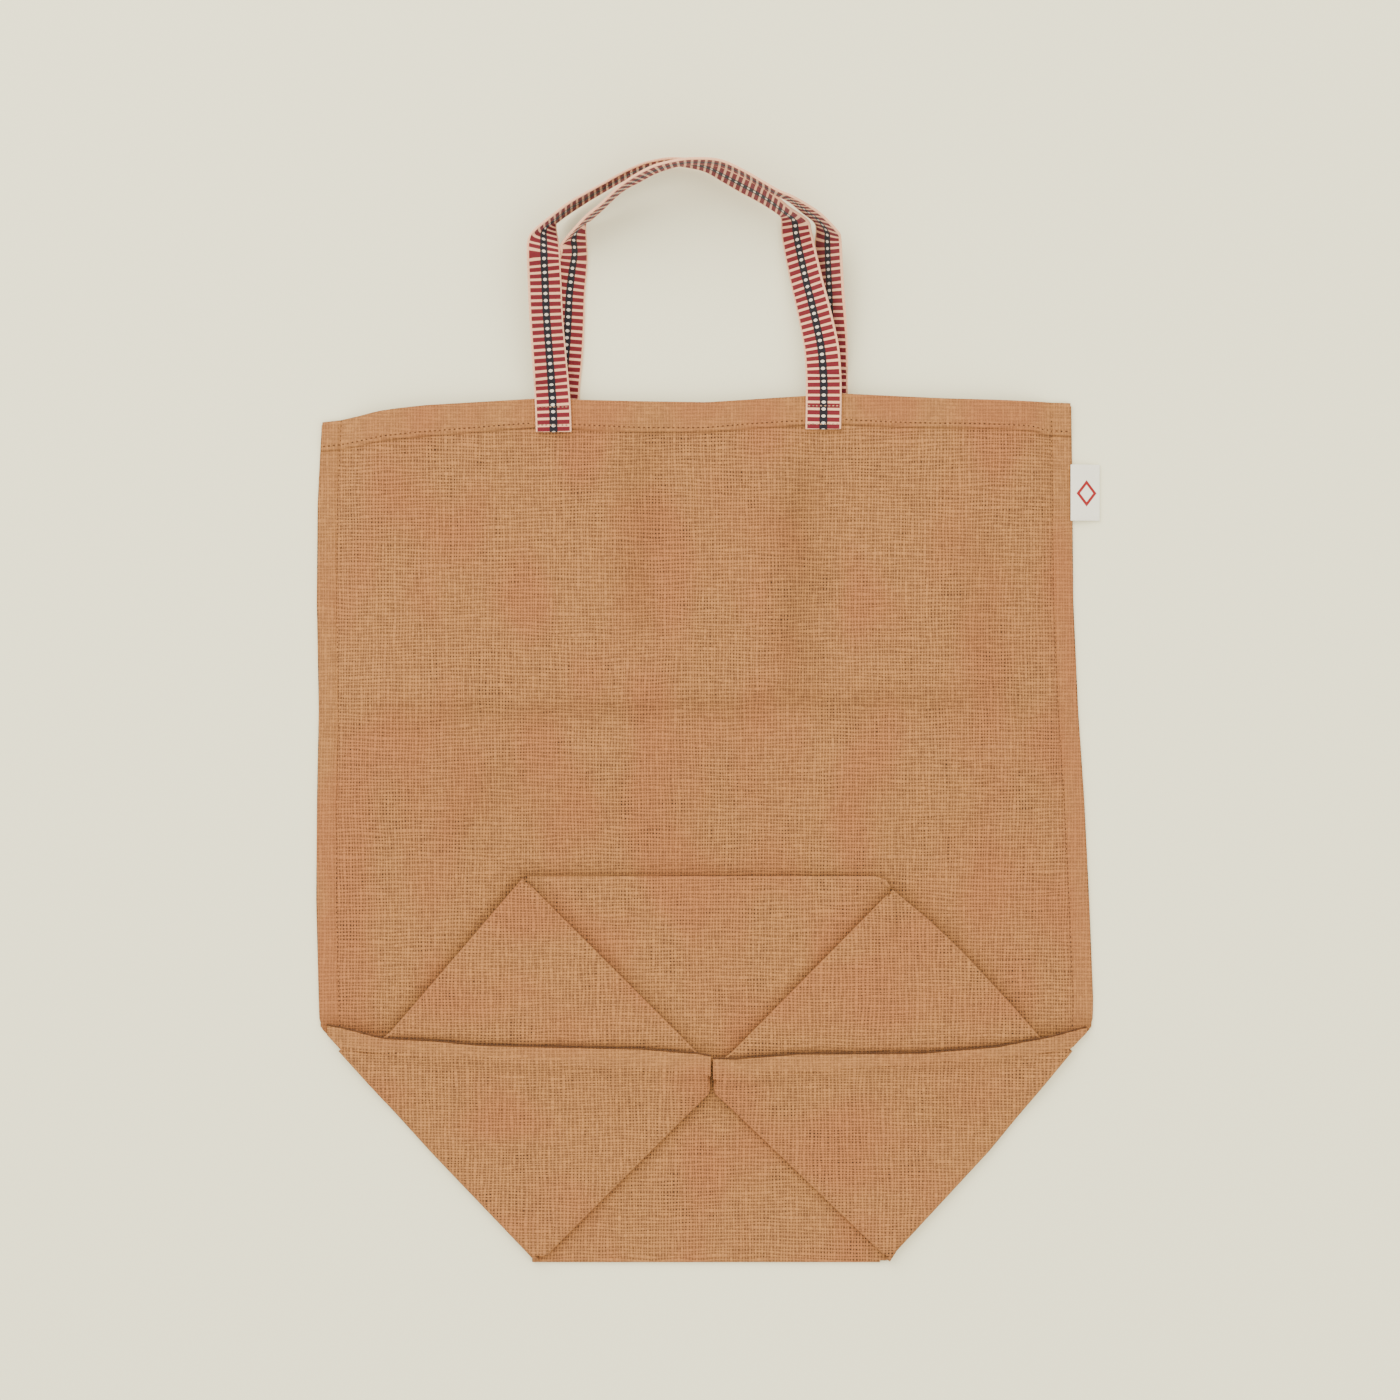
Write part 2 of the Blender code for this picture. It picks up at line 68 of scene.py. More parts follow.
openHeight = 8.0  # height of the open front panel
riseStart, riseEnd = 109.0, 178.0  # rows between which it rises
viewX, viewY, cameraHeight = -3.85, 203.5, 1604.0  # what the camera looks at, and from how high

# Outer edges of the side seams
sides = [
    dict(y=24.0, left=-212.9, right=211.8),
    dict(y=38.0, left=-213.4, right=212.3),
    dict(y=93.0, left=-214.8, right=210.1),
    dict(y=148.0, left=-214.4, right=207.4),
    dict(y=198.0, left=-213.4, right=204.0),
    dict(y=258.0, left=-214.5, right=201.3),
    dict(y=313.0, left=-214.0, right=200.8),
    dict(y=358.0, left=-211.8, right=200.2),
]

# Folds of the base and of the ears, row by row at the left and the right
lowerFolds = [
    dict(y=-104.3, left=-92.5, right=98.8),
    dict(y=-98.0, left=-98.3, right=102.7),
    dict(y=-43.2, left=-151.0, right=153.8),
    dict(y=11.8, left=-201.1, right=199.4),
]
upperFolds = [
    dict(y=2.0, left=-189.5, right=188.5),
    dict(y=9.0, left=-189.0, right=190.0),
    dict(y=19.0, left=-174.4, right=180.9),
    dict(y=36.0, left=-159.7, right=166.0),
    dict(y=64.0, left=-135.7, right=140.1),
    dict(y=82.0, left=-120.2, right=121.3),
    dict(y=98.9, left=-105.7, right=101.0),
    dict(y=105.7, left=-99.9, right=94.0),
]
earEdges = [
    dict(y=-104.6, left=-92.9, right=99.9),
    dict(y=-101.0, left=-89.3, right=98.6),
    dict(y=-11.0, left=0.7, right=4.7),
    dict(y=3.0, left=0.5, right=5.0),
    dict(y=9.9, left=-6.1, right=14.2),
    dict(y=97.1, left=-93.2, right=100.3),
    dict(y=103.0, left=-99.0, right=101.0),
]
earTips = dict(left=dict(x=1.2, y=-1.2), right=dict(x=4.1, y=-3.0))
baseFolds = [
    dict(y=-104.3, left=-92.5, right=98.8),
    dict(y=98.9, left=-99.7, right=101.0),
    dict(y=105.9, left=-99.9, right=94.0),
]

# Upper edges of the seam fins and of the mouth
finTops = dict(
    left=[
        dict(x=-208.5, top=25.5),
        dict(x=-198.6, top=23.7),
        dict(x=-177.1, top=18.7),
        dict(x=-148.0, top=17.3),
        dict(x=-124.9, top=15.1),
        dict(x=-36.9, top=13.2),
        dict(x=-5.5, top=10.7),
        dict(x=1.9, top=9.6),
    ],
    right=[
        dict(x=3.3, top=8.2),
        dict(x=16.0, top=7.7),
        dict(x=51.2, top=10.5),
        dict(x=118.3, top=10.9),
        dict(x=158.4, top=14.1),
        dict(x=190.6, top=20.0),
        dict(x=208.5, top=24.3),
    ],
)
mouthEdge = [
    dict(x=-212.0, y=355.9),
    dict(x=-199.7, y=357.3),
    dict(x=-190.0, y=359.2),
    dict(x=-180.0, y=361.6),
    dict(x=-170.0, y=363.0),
    dict(x=-154.0, y=364.7),
    dict(x=-95.7, y=368.2),
    dict(x=-36.9, y=366.9),
    dict(x=0.0, y=366.3),
    dict(x=51.2, y=369.6),
    dict(x=75.7, y=371.0),
    dict(x=128.7, y=368.5),
    dict(x=200.0, y=366.5),
]

# Creases that come from folding and from the layers below: middle, direction, half length,
# half width and height, negative for a trough.
frontCreases = [
    dict(x=-30.0, y=200.5, angle=0.6, length=225.0, width=3.0, height=-0.45),
    dict(x=0.0, y=200.0, angle=2.0, length=205.0, width=9.0, height=-1.1),
    dict(x=0.0, y=212.0, angle=2.0, length=200.0, width=8.0, height=0.5),
    dict(x=-36.0, y=296.0, angle=88.0, length=70.0, width=12.0, height=-1.2),
    dict(x=52.0, y=272.0, angle=90.0, length=78.0, width=13.0, height=-1.3),
    dict(x=104.0, y=126.0, angle=80.0, length=16.0, width=6.0, height=-0.5),
    dict(x=-120.0, y=150.0, angle=62.0, length=34.0, width=12.0, height=-0.6),
    dict(x=150.0, y=255.0, angle=100.0, length=50.0, width=16.0, height=-0.7),
    dict(x=46.0, y=262.0, angle=86.0, length=70.0, width=6.0, height=-0.5),
    dict(x=-22.0, y=250.0, angle=94.0, length=60.0, width=7.0, height=0.35),
    dict(x=178.0, y=196.0, angle=-3.0, length=32.0, width=4.0, height=-0.45),
    dict(x=-185.0, y=186.0, angle=6.0, length=40.0, width=4.0, height=-0.35),
]
baseCreases = [
    dict(x=103.5, y=84.0, angle=84.0, length=18.0, width=1.8, height=-0.55),
    dict(x=99.0, y=84.0, angle=82.0, length=20.0, width=3.0, height=0.5),
    dict(x=-96.0, y=60.0, angle=90.0, length=55.0, width=4.0, height=0.3),
    dict(x=-60.0, y=40.0, angle=-5.0, length=50.0, width=8.0, height=0.4),
    dict(x=70.0, y=36.0, angle=8.0, length=50.0, width=9.0, height=0.4),
    dict(x=0.0, y=-62.0, angle=88.0, length=34.0, width=9.0, height=0.35),
]

# Handles as the camera sees them: outer and inner edge of the webbing and the height of the inner
# one. span stands for the webbing's width where a fold slants and where the sewn ends lie flat.
footHeight = 9.9
frontTape = [
    dict(outer=(-94.1, 350.9), inner=(-74.5, 350.9), low=footHeight, span=19.0),
    dict(outer=(-94.7, 368.0), inner=(-75.1, 368.0), low=footHeight, span=19.0),
    dict(outer=(-96.4, 394.7), inner=(-77.6, 394.7), low=10.0),
    dict(outer=(-97.7, 415.2), inner=(-79.4, 414.8), low=11.4),
    dict(outer=(-98.6, 436.6), inner=(-80.3, 435.4), low=13.8),
    dict(outer=(-99.0, 449.0), inner=(-80.9, 446.8), low=16.8),
    dict(outer=(-98.8, 455.4), inner=(-81.5, 454.6), low=13.4),
    dict(outer=(-96.6, 460.4), inner=(-83.0, 464.4), low=7.6, span=20.6),
    dict(outer=(-88.4, 467.6), inner=(-80.6, 467.6), low=4.4),
    dict(outer=(-76.3, 476.9), inner=(-73.9, 472.4), low=2.4),
    dict(outer=(-66.3, 482.7), inner=(-64.2, 478.6), low=1.4),
    dict(outer=(-57.1, 487.7), inner=(-55.3, 483.9), low=0.9),
    dict(outer=(-47.9, 492.8), inner=(-46.2, 489.2), low=0.6),
    dict(outer=(-40.6, 496.4), inner=(-39.0, 493.0), low=0.5),
    dict(outer=(-33.2, 499.2), inner=(-32.0, 495.8), low=0.5),
    dict(outer=(-22.5, 501.3), inner=(-22.0, 497.6), low=0.5),
    dict(outer=(-12.0, 501.2), inner=(-12.8, 497.0), low=0.5),
    dict(outer=(0.8, 499.9), inner=(-1.0, 494.3), low=0.5),
    dict(outer=(11.5, 495.6), inner=(8.6, 488.8), low=0.5),
    dict(outer=(21.6, 490.8), inner=(17.8, 483.4), low=0.5),
    dict(outer=(31.6, 485.2), inner=(27.7, 478.1), low=0.6),
    dict(outer=(38.3, 480.5), inner=(34.6, 473.9), low=0.9),
    dict(outer=(45.5, 474.3), inner=(39.4, 470.6), low=1.6),
    dict(outer=(55.4, 467.4), inner=(40.9, 468.0), low=2.6, span=20.4),
    dict(outer=(57.4, 461.5), inner=(41.2, 459.0), low=3.2),
    dict(outer=(59.6, 452.0), inner=(42.9, 448.4), low=4.0),
    dict(outer=(61.6, 443.5), inner=(44.6, 439.6), low=4.8),
    dict(outer=(63.6, 435.0), inner=(46.4, 431.0), low=5.6),
    dict(outer=(66.6, 424.0), inner=(48.9, 420.0), low=6.8),
    dict(outer=(71.9, 401.5), inner=(53.1, 398.5), low=9.0),
    dict(outer=(73.6, 386.4), inner=(54.2, 385.6), low=9.7),
    dict(outer=(74.0, 371.5), inner=(54.4, 371.5), low=footHeight, span=19.0),
    dict(outer=(73.7, 352.4), inner=(54.1, 352.4), low=footHeight, span=19.0),
]
backTape = [
    dict(outer=(-89.8, 351.4), inner=(-70.2, 351.4), low=0.0, span=19.0),
    dict(outer=(-89.8, 369.0), inner=(-70.2, 369.0), low=0.0, span=19.0),
    dict(outer=(-87.6, 392.0), inner=(-68.4, 392.0), low=0.3),
    dict(outer=(-86.0, 410.0), inner=(-67.6, 410.0), low=0.4),
    dict(outer=(-84.8, 427.2), inner=(-67.2, 425.8), low=0.6),
    dict(outer=(-82.8, 441.2), inner=(-66.2, 439.0), low=0.9),
    dict(outer=(-80.5, 450.4), inner=(-65.9, 448.0), low=1.5),
    dict(outer=(-79.8, 454.6), inner=(-66.7, 465.0), low=3.0, span=21.4),
    dict(outer=(-67.6, 468.6), inner=(-64.0, 467.6), low=5.0),
    dict(outer=(-58.8, 476.0), inner=(-58.0, 472.9), low=9.0),
    dict(outer=(-50.8, 483.8), inner=(-50.0, 480.6), low=12.6),
    dict(outer=(-45.1, 488.4), inner=(-44.2, 485.0), low=15.4),
    dict(outer=(-39.0, 492.4), inner=(-37.6, 488.4), low=18.0),
    dict(outer=(-29.6, 497.2), inner=(-28.6, 493.2), low=20.6),
    dict(outer=(-19.0, 500.0), inner=(-18.5, 496.7), low=21.6),
    dict(outer=(-8.2, 501.4), inner=(-8.0, 498.4), low=21.8),
    dict(outer=(6.4, 500.6), inner=(5.6, 497.5), low=21.4),
    dict(outer=(18.6, 495.6), inner=(17.6, 492.9), low=21.2),
    dict(outer=(31.6, 488.2), inner=(30.2, 485.6), low=21.3),
    dict(outer=(38.8, 484.0), inner=(37.2, 481.7), low=21.3),
    dict(outer=(47.2, 480.4), inner=(45.2, 477.8), low=19.8),
    dict(outer=(56.4, 475.2), inner=(53.0, 471.4), low=13.4),
    dict(outer=(63.8, 469.8), inner=(58.8, 466.8), low=8.8),
    dict(outer=(72.2, 460.8), inner=(60.2, 462.6), low=4.4, span=20.6),
    dict(outer=(73.6, 457.0), inner=(59.6, 454.2), low=2.6),
    dict(outer=(74.2, 446.0), inner=(59.8, 442.5), low=1.6),
    dict(outer=(75.2, 428.0), inner=(60.4, 425.0), low=0.8),
    dict(outer=(76.6, 411.0), inner=(59.4, 409.0), low=0.5),
    dict(outer=(77.4, 396.0), inner=(58.6, 395.5), low=0.3),
    dict(outer=(77.4, 371.0), inner=(57.8, 371.0), low=0.0, span=19.0),
    dict(outer=(77.4, 351.4), inner=(57.8, 351.4), low=0.0, span=19.0),
]


def blend(low, high, value):
    return low + (high - low) * value


def ramp(value, start, end):
    return min(max((value - start) / (end - start), 0.0), 1.0)


def ease(value, start, end):
    part = ramp(value, start, end)
    return part * part * (3.0 - 2.0 * part)


def lookUp(table, key, column, value):
    if value <= table[0][key]:
        return table[0][column]
    for lower, upper in zip(table, table[1:]):
        if value <= upper[key]:
            return blend(lower[column], upper[column], ramp(value, lower[key], upper[key]))
    return table[-1][column]


def steps(start, end, size):
    count = max(1, round(abs(end - start) / size))
    return [blend(start, end, index / count) for index in range(count + 1)]


def creaseHeight(table, x, y):
    # All creases together. Each wanders a little about its line and fades out at its ends.
    total = 0.0
    for row in table:
        turn = math.radians(row["angle"])
        run = (x - row["x"]) * math.cos(turn) + (y - row["y"]) * math.sin(turn)
        off = (y - row["y"]) * math.cos(turn) - (x - row["x"]) * math.sin(turn)
        off += 0.25 * row["width"] * math.sin(run * 0.11 + row["x"])
        fade = 1.0 - ease(abs(run), 0.6 * row["length"], row["length"])
        total += row["height"] * fade * math.exp(-((off / row["width"]) ** 2))
    return total


def ripple(x, y, size, height):
    return height * noise.noise(Vector((x / size, y / size, 3.7)))


def stepShare(y):
    return ease(y, stepFoot, stepTop)


def baseHeight(x, y):
    return blend(baseLow, baseHigh, stepShare(y))


def earHeight(x, y):
    return baseHeight(x, y) + pitch


def gussetHeight(x, y):
    return baseHeight(x, y) + 2 * pitch * (1.0 - ramp(abs(x), earFlat, earFoot))


finSettle = dict(start=184.0, end=206.0, sink=0.1)  # where a fin comes down onto the side seam


def finHeight(x, y):
    settled = ease(abs(x), finSettle["start"], finSettle["end"])
    return blend(gussetHeight(x, y) + pitch, finStack + cloth - finSettle["sink"], settled)


def seamDistance(x, y):
    toLeft = x - lookUp(sides, "y", "left", y)
    toRight = lookUp(sides, "y", "right", y) - x
    return min(toLeft, toRight)


hemDrop = dict(depth=1.6, start=178.0, end=186.0)
hemWave = dict(height=0.5, turn=0.05)


def hemLine(x):
    # Lower edge of the turned hem on the front, which drops a little at the right seam.
    drop = hemDrop["depth"] * ease(x, hemDrop["start"], hemDrop["end"])
    wave = hemWave["height"] * math.sin(x * hemWave["turn"])
    return lookUp(mouthEdge, "x", "y", x) - hem - drop + wave


front = dict(wave=26.0, waveHeight=0.5, creaseFade=20.0, slope=34.0, groove=0.45, grooveWidth=0.9,
             grooveStart=20.0, grooveEnd=30.0, hemStep=0.7)


def frontHeight(x, y):
    opened = blend(pitch, openHeight, ease(y, riseStart, riseEnd))
    opened += creaseHeight(frontCreases, x, y) * ease(y, riseStart, riseStart + front["creaseFade"])
    opened += ripple(x, y, front["wave"], front["waveHeight"]) * ease(y, riseStart, riseEnd)
    fromSeam = seamDistance(x, y) - seam
    height = blend(finStack, opened, 1.0 - (1.0 - ramp(fromSeam, 0.0, front["slope"])) ** 2)
    # The seam's stitches pull the cloth down in a narrow groove.
    groove = front["groove"] * math.exp(-((fromSeam / front["grooveWidth"]) ** 2))
    height -= groove * ramp(y, front["grooveStart"], front["grooveEnd"])
    return height + front["hemStep"] * ease(y - hemLine(x), -0.5, 0.5)


# The back rises over the feet of the back handle.
backFeet = dict(left=-80.0, right=68.0, half=10.7, clear=17.0, lift=1.65, start=342.0, end=350.0)


def overFeet(y):
    return ramp(y, backFeet["start"], backFeet["end"])


def backHeight(x, y):
    beside = min(abs(x - backFeet["left"]), abs(x - backFeet["right"]))
    clear = ramp(beside, backFeet["half"], backFeet["clear"])
    return backFeet["lift"] * (1.0 - clear) * overFeet(y)


def bodyEdge(side, y):
    corner = lowerFolds[-1]
    if y <= corner["y"]:
        return lookUp(lowerFolds, "y", side, y)
    if y >= sides[0]["y"]:
        return lookUp(sides, "y", side, y)
    return blend(corner[side], sides[0][side], ramp(y, corner["y"], sides[0]["y"]))


def bodyPoint(share, y, inset=0.0):
    x = blend(bodyEdge("left", y) + inset, bodyEdge("right", y) - inset, share)
    stretch = lookUp(mouthEdge, "x", "y", x) - mouthRow
    return x, y + stretch * ease(y, stretchStart, mouthRow)


def foldRoot(side, x):
    corner = lowerFolds[-1]
    tip = earTips[side]
    return blend(tip["y"], corner["y"], ramp(x, tip["x"], corner[side]))


sheetParts = []
foldParts = []


def laySheet(name, columns, rows, place, group, turned=False, dense=None, shade=None):
    # The grid lies on the middle of the cloth. Its UV map runs along the yarns, in metres.
    mesh = bpy.data.meshes.new(name)
    grid = bmesh.new()
    across, along = len(columns) - 1, len(rows) - 1
    bmesh.ops.create_grid(grid, x_segments=across, y_segments=along, size=0.5)
    yarns = grid.loops.layers.uv.new("Yarns")
    closed = grid.verts.layers.float.new("dense")
    shaded = grid.verts.layers.float.new("shade")
    for vert in grid.verts:
        column = columns[round((vert.co.x + 0.5) * across)]
        row = rows[round((vert.co.y + 0.5) * along)]
        x, y, z = place(column, row)
        vert.co = Vector((x, y, z)) * mm + shift
        vert[closed] = dense(x, y) if dense else 0.0
        vert[shaded] = shade(x, y, column) if shade else 0.0
    for face in grid.faces:
        face.smooth = True
        for loop in face.loops:
            x, y = loop.vert.co.x, loop.vert.co.y
            loop[yarns].uv = (y + 0.31, x + 0.17) if turned else (x, y)
    grid.to_mesh(mesh)
    grid.free()
    sheet = bpy.data.objects.new(name, mesh)
    bpy.context.scene.collection.objects.link(sheet)
    group.append(sheet)
    return sheet


def layFold(name, path, low, high, outward, turned=False, deep=0.9, taper=0):
    # A rounded edge that joins the layer below to the layer above, with painted shade in the
    # crevice under it.
    # Over the last rows it draws in under the outline when a taper is given.
    section = [dict(out=-foldIn, rise=-1.0)]
    for index in range(7):
        turn = math.radians(-90.0 + index * 30.0)
        out = foldCore + (foldOut - foldCore) * math.cos(turn)
        section.append(dict(out=out, rise=math.sin(turn)))
    section.append(dict(out=-foldIn, rise=1.0))

    def place(station, index):
        here = Vector(path[index])
        before = Vector(path[max(index - 1, 0)])
        after = Vector(path[min(index + 1, len(path) - 1)])
        along = (after - before).normalized()
        out = station["out"]
        if out > 0.0 and taper:
            out = blend(foldTuck, out, min((len(path) - 1 - index) / taper, 1.0))
        spot = here + Vector((along.y, -along.x)) * outward * out
        bottom, top = low(here.x, here.y), high(here.x, here.y)
        return spot.x, spot.y, blend(bottom, top, (station["rise"] + 1.0) / 2.0)

    # Painted shade, darkest at the bottom of the bend, as strong as deep asks.
    def shade(x, y, station):
        return deep * ramp(-station["rise"], -0.55, 0.3)

    laySheet(name, section, range(len(path)), place, foldParts, turned, dense=lambda x, y: 0.9,
             shade=shade)


def middleOf(height):
    return lambda x, y: height(x, y) + cloth / 2.0


def level(height):
    return lambda x, y: height


def pathOn(table, side, start, end, size=6.0):
    return [(lookUp(table, "y", side, y), y) for y in steps(start, end, size)]


def nearest(lines, x, y):
    # Distance from a point to the nearest of several lines.
    best = 1000.0
    for line in lines:
        for start, end in zip(line, line[1:]):
            reach = Vector((end[0] - start[0], end[1] - start[1]))
            off = Vector((x - start[0], y - start[1]))
            part = min(max(off.dot(reach) / reach.length_squared, 0.0), 1.0)
            best = min(best, (off - reach * part).length)
    return best


def lineOn(table, side):
    return [(row[side], row["y"]) for row in table]


def finLine(side):
    return [(row["x"], row["top"]) for row in finTops[side]]


stackLines = [lineOn(upperFolds[2:], "left"), lineOn(upperFolds[2:], "right"),
              [(-99.9, 105.9), (94.0, 105.9)], finLine("left")[:3], finLine("right")[-3:]]
earLines = [lineOn(earEdges[1:], "left"), lineOn(earEdges[1:], "right")]
finLines = [finLine("left"), finLine("right")]

# Strength of the painted shade in creases and beside the layers that lie on it, from 0 to 1
dark = dict(frontCrease=0.13, gussetCrease=0.35, stack=0.3, reach=6.0, lowEar=0.1, ear=0.3,
            fin=0.9, finReach=1.6)
# Painted shadow line just under the edge of the hem, stronger beside the handle feet and uneven
# along it.
hemShadow = dict(start=135.0, strength=0.42, atFeet=0.25, fade=12.0, uneven=0.25, below=0.4,
               width=0.6)
frontFeet = dict(left=-84.3, right=63.9, half=10.0)


# Painted shade: darker in crease troughs, a painted shadow line under the hem, and darker beside
# the stacked layers lower down.
def frontShade(x, y, column):
    valley = dark["frontCrease"] * max(0.0, -creaseHeight(frontCreases, x, y))
    if y > hemShadow["start"]:
        beside = min(abs(x - frontFeet["left"]), abs(x - frontFeet["right"])) - frontFeet["half"]
        nearFeet = math.exp(-max(beside, 0.0) / hemShadow["fade"])
        strength = hemShadow["strength"] + hemShadow["atFeet"] * nearFeet
        strength += ripple(x, 7.0, 30.0, hemShadow["uneven"])
        fromLine = y - hemLine(x) + hemShadow["below"]
        return valley + strength * math.exp(-((fromLine / hemShadow["width"]) ** 2))
    return valley + dark["stack"] * math.exp(-((nearest(stackLines, x, y) / dark["reach"]) ** 2))


# Painted shade beside the ear edges, fainter towards the bottom.
def baseShade(x, y, column):
    strength = blend(dark["lowEar"], dark["ear"], ramp(y, -40.0, 0.0))
    return strength * math.exp(-((nearest(earLines, x, y) / dark["reach"]) ** 2))


# Painted shade in crease troughs and in a narrow line beside the fin tops.
def gussetShade(x, y, column):
    valley = dark["gussetCrease"] * max(0.0, -creaseHeight(baseCreases, x, y))
    beside = math.exp(-nearest(finLines, x, y) / dark["finReach"])
    return valley + dark["fin"] * beside * ramp(y, 0.0, 5.0)


def seamColumns(y):
    # The points stand closer together along the side seams.
    width = bodyEdge("right", y) - bodyEdge("left", y)
    edge = [0.0, 1.2, 2.6, 4.2, 6.0, 7.6, 8.8, 9.7, 10.4, 11.0, 11.6, 12.3, 13.2, 14.5, 16.5, 19.0]
    inner = steps(22.0, width - 22.0, cell)
    places = edge + inner + [width - stop for stop in reversed(edge)]
    return [place / width for place in places]


# Panels
def hemDense(x, y):
    # The double cloth of the hem and the seams shows hardly any holes.
    inHem = ramp(y - hemLine(x), -0.6, 0.6)
    return max(inHem, 0.9 * (1.0 - ramp(seamDistance(x, y), 10.4, 11.4)))


hemGap = 0.6


def frontPlace(share, y):
    x, y = bodyPoint(share, y, frontInset)
    return x, y, frontHeight(x, y) + cloth / 2


def frontHemPlace(share, y):
    x, y, z = frontPlace(share, y)
    return x, y, z - cloth - hemGap


def backPlace(share, y):
    x, y = bodyPoint(share, y)
    y -= backMouthDrop * overFeet(y)
    return x, y, backHeight(x, y) + cloth / 2


def backHemPlace(share, y):
    x, y, z = backPlace(share, y)
    return x, y, z + cloth


columns = seamColumns(198.0)
hemRows = steps(338.0, 344.5, 0.5) + steps(346.0, mouthRow, 2.0)
frontRows = [frontFold] + steps(6.0, 335.0, cell) + hemRows
laySheet("frontPanel", columns, frontRows, frontPlace, sheetParts, dense=hemDense, shade=frontShade)
inner = [share for share in columns if 0.045 <= share <= 0.955]
turnedRows = steps(hemStart, mouthRow, 4.0)
backRows = steps(-104.3, hemStart, 6.0) + turnedRows[1:]
laySheet("frontHem", inner[::2], turnedRows, frontHemPlace, sheetParts)
laySheet("backPanel", columns[::2], backRows, backPlace, sheetParts)
laySheet("backHem", inner[::2], turnedRows, backHemPlace, sheetParts)
print("panels laid")


# Base, ears and gussets
def rowSheet(name, table, rows, height, size, turned=False, inner=None, side=None, shade=None):
    # A layer whose rows run straight across between two edges.
    def place(share, y):
        if inner:
            x = blend(lookUp(table, "y", side, y), lookUp(inner, "y", side, y), share)
        else:
            x = blend(lookUp(table, "y", "left", y), lookUp(table, "y", "right", y), share)
        return x, y, height(x, y) + cloth / 2

    shares = steps(0.0, 1.0, size)
    if side == "right":
        shares = list(reversed(shares))
    laySheet(name, shares, rows, place, sheetParts, turned, shade=shade)


def softBase(x, y):
    return baseHeight(x, y) + creaseHeight(baseCreases, x, y) + ripple(x, y, 22.0, 0.25)


rowSheet("turnedFront", upperFolds, steps(2.0, 105.9, 20.0), level(turnedFront), 0.1)
rowSheet("base", baseFolds, steps(-104.3, 105.9, cell), softBase, 1 / 56, shade=baseShade)

frontPath = [(x, frontFold) for x in steps(-187.0, 186.0, 6.0)]
topPath = [(x, 105.9) for x in steps(-98.6, 92.0, 6.0)] + [(97.4, 104.3), (100.4, 100.0)]
bottomPath = [(x, -104.3) for x in steps(-96.0, 95.0, 6.0)]
layFold("frontFold", frontPath, middleOf(level(pitch)), middleOf(level(turnedFront)), 1.0)
layFold("topFold", topPath, middleOf(level(turnedFront)), middleOf(softBase), -1.0)
layFold("bottomFold", bottomPath, middleOf(level(0.0)), middleOf(softBase), 1.0, deep=0.3)


def softGusset(x, y):
    return gussetHeight(x, y) + creaseHeight(baseCreases, x, y) + ripple(x, y, 18.0, 0.3)


spring = dict(height=0.55, distance=4.0)


def edgeRoll(distance):
    # The cloth springs up a little beside each fold.
    part = distance / spring["distance"]
    return spring["height"] * part * math.exp(1.0 - part)


def gussetSheet(name, side, outer, outerRange, innerRange, finRise=0.0):
    # The lower gusset runs up into the top layer of the fin over its last few millimetres.
    across = steps(0.0, 1.0, 1 / 48)
    along = steps(0.0, 0.8, 0.036) + steps(0.812, 1.0, 0.012)

    def place(share, part):
        outerY = blend(outerRange[0], outerRange[1], part)
        innerY = blend(innerRange[0], innerRange[1], part)
        start = Vector((lookUp(outer, "y", side, outerY), outerY))
        end = Vector((lookUp(earEdges, "y", side, innerY), innerY))
        spot = start.lerp(end, share)
        width = (end - start).length * 0.7
        roll = edgeRoll(width * share) + edgeRoll(width * (1.0 - share))
        rise = finRise * ease(part, 0.93, 0.995) * (1.0 - ease(abs(spot.x), 176.0, 198.0))
        height = softGusset(spot.x, spot.y) + roll * (1.0 - rise / 3.0) + rise
        return spot.x, spot.y, height + cloth / 2

    turnBack = (side == "left") == (outerRange[0] > outerRange[1])
    laySheet(name, across, list(reversed(along)) if turnBack else along, place, sheetParts, True,
             shade=gussetShade)


finRise = pitch + 0.9
for side, outward in (("left", -1.0), ("right", 1.0)):
    corner = lowerFolds[-1]["y"]
    tip = earTips[side]["y"]
    rowSheet(side + "Ear", baseFolds, steps(-101.0, 97.1, 8.0), earHeight, 1 / 12, True, earEdges,
             side)
    gussetSheet(side + "LowerGusset", side, lowerFolds, (-101.0, corner), (-101.0, tip), finRise)
    apex = 103.6 if side == "left" else 97.1
    gussetSheet(side + "UpperGusset", side, upperFolds, (apex, corner - 0.2), (apex, tip + 0.45))
    layFold(side + "LowerFold", pathOn(lowerFolds, side, -103.7, 11.8), middleOf(level(0.0)),
            middleOf(softGusset), -outward, True, 0.3, taper=4)
    layFold(side + "UpperFold", pathOn(upperFolds, side, 9.0, apex + 1.8),
            middleOf(level(turnedFront)), middleOf(softGusset), outward, True)
    layFold(side + "SideFold", pathOn(baseFolds, side, -100.0, 97.0), middleOf(baseHeight),
            middleOf(earHeight), outward, True)
    layFold(side + "EarFold", pathOn(earEdges, side, -24.0, apex - 0.7, 2.5), middleOf(earHeight),
            middleOf(softGusset), -outward, True)
    layFold(side + "LowEarFold", pathOn(earEdges, side, -100.3, -24.0, 2.5), middleOf(earHeight),
            middleOf(softGusset), -outward, True, 0.45)


# Seam fins across the gussets, two layers of cloth each
fins = dict(step=1.03, back=0.8, foot=0.7, wave=0.3, turn=0.21)


def finFoot(side, x):
    corner, seamEnd = lowerFolds[-1], sides[0]
    beyond = ramp(abs(x), abs(corner[side]), abs(seamEnd[side]))
    return blend(foldRoot(side, x), seamEnd["y"] + 0.3, beyond)


def finCurl(side, x):
    # The fins curl up where they meet in the middle.
    return 2.2 * ease(x, -2.4, 1.9) if side == "left" else 0.9 * ease(-x, -9.0, -3.3)


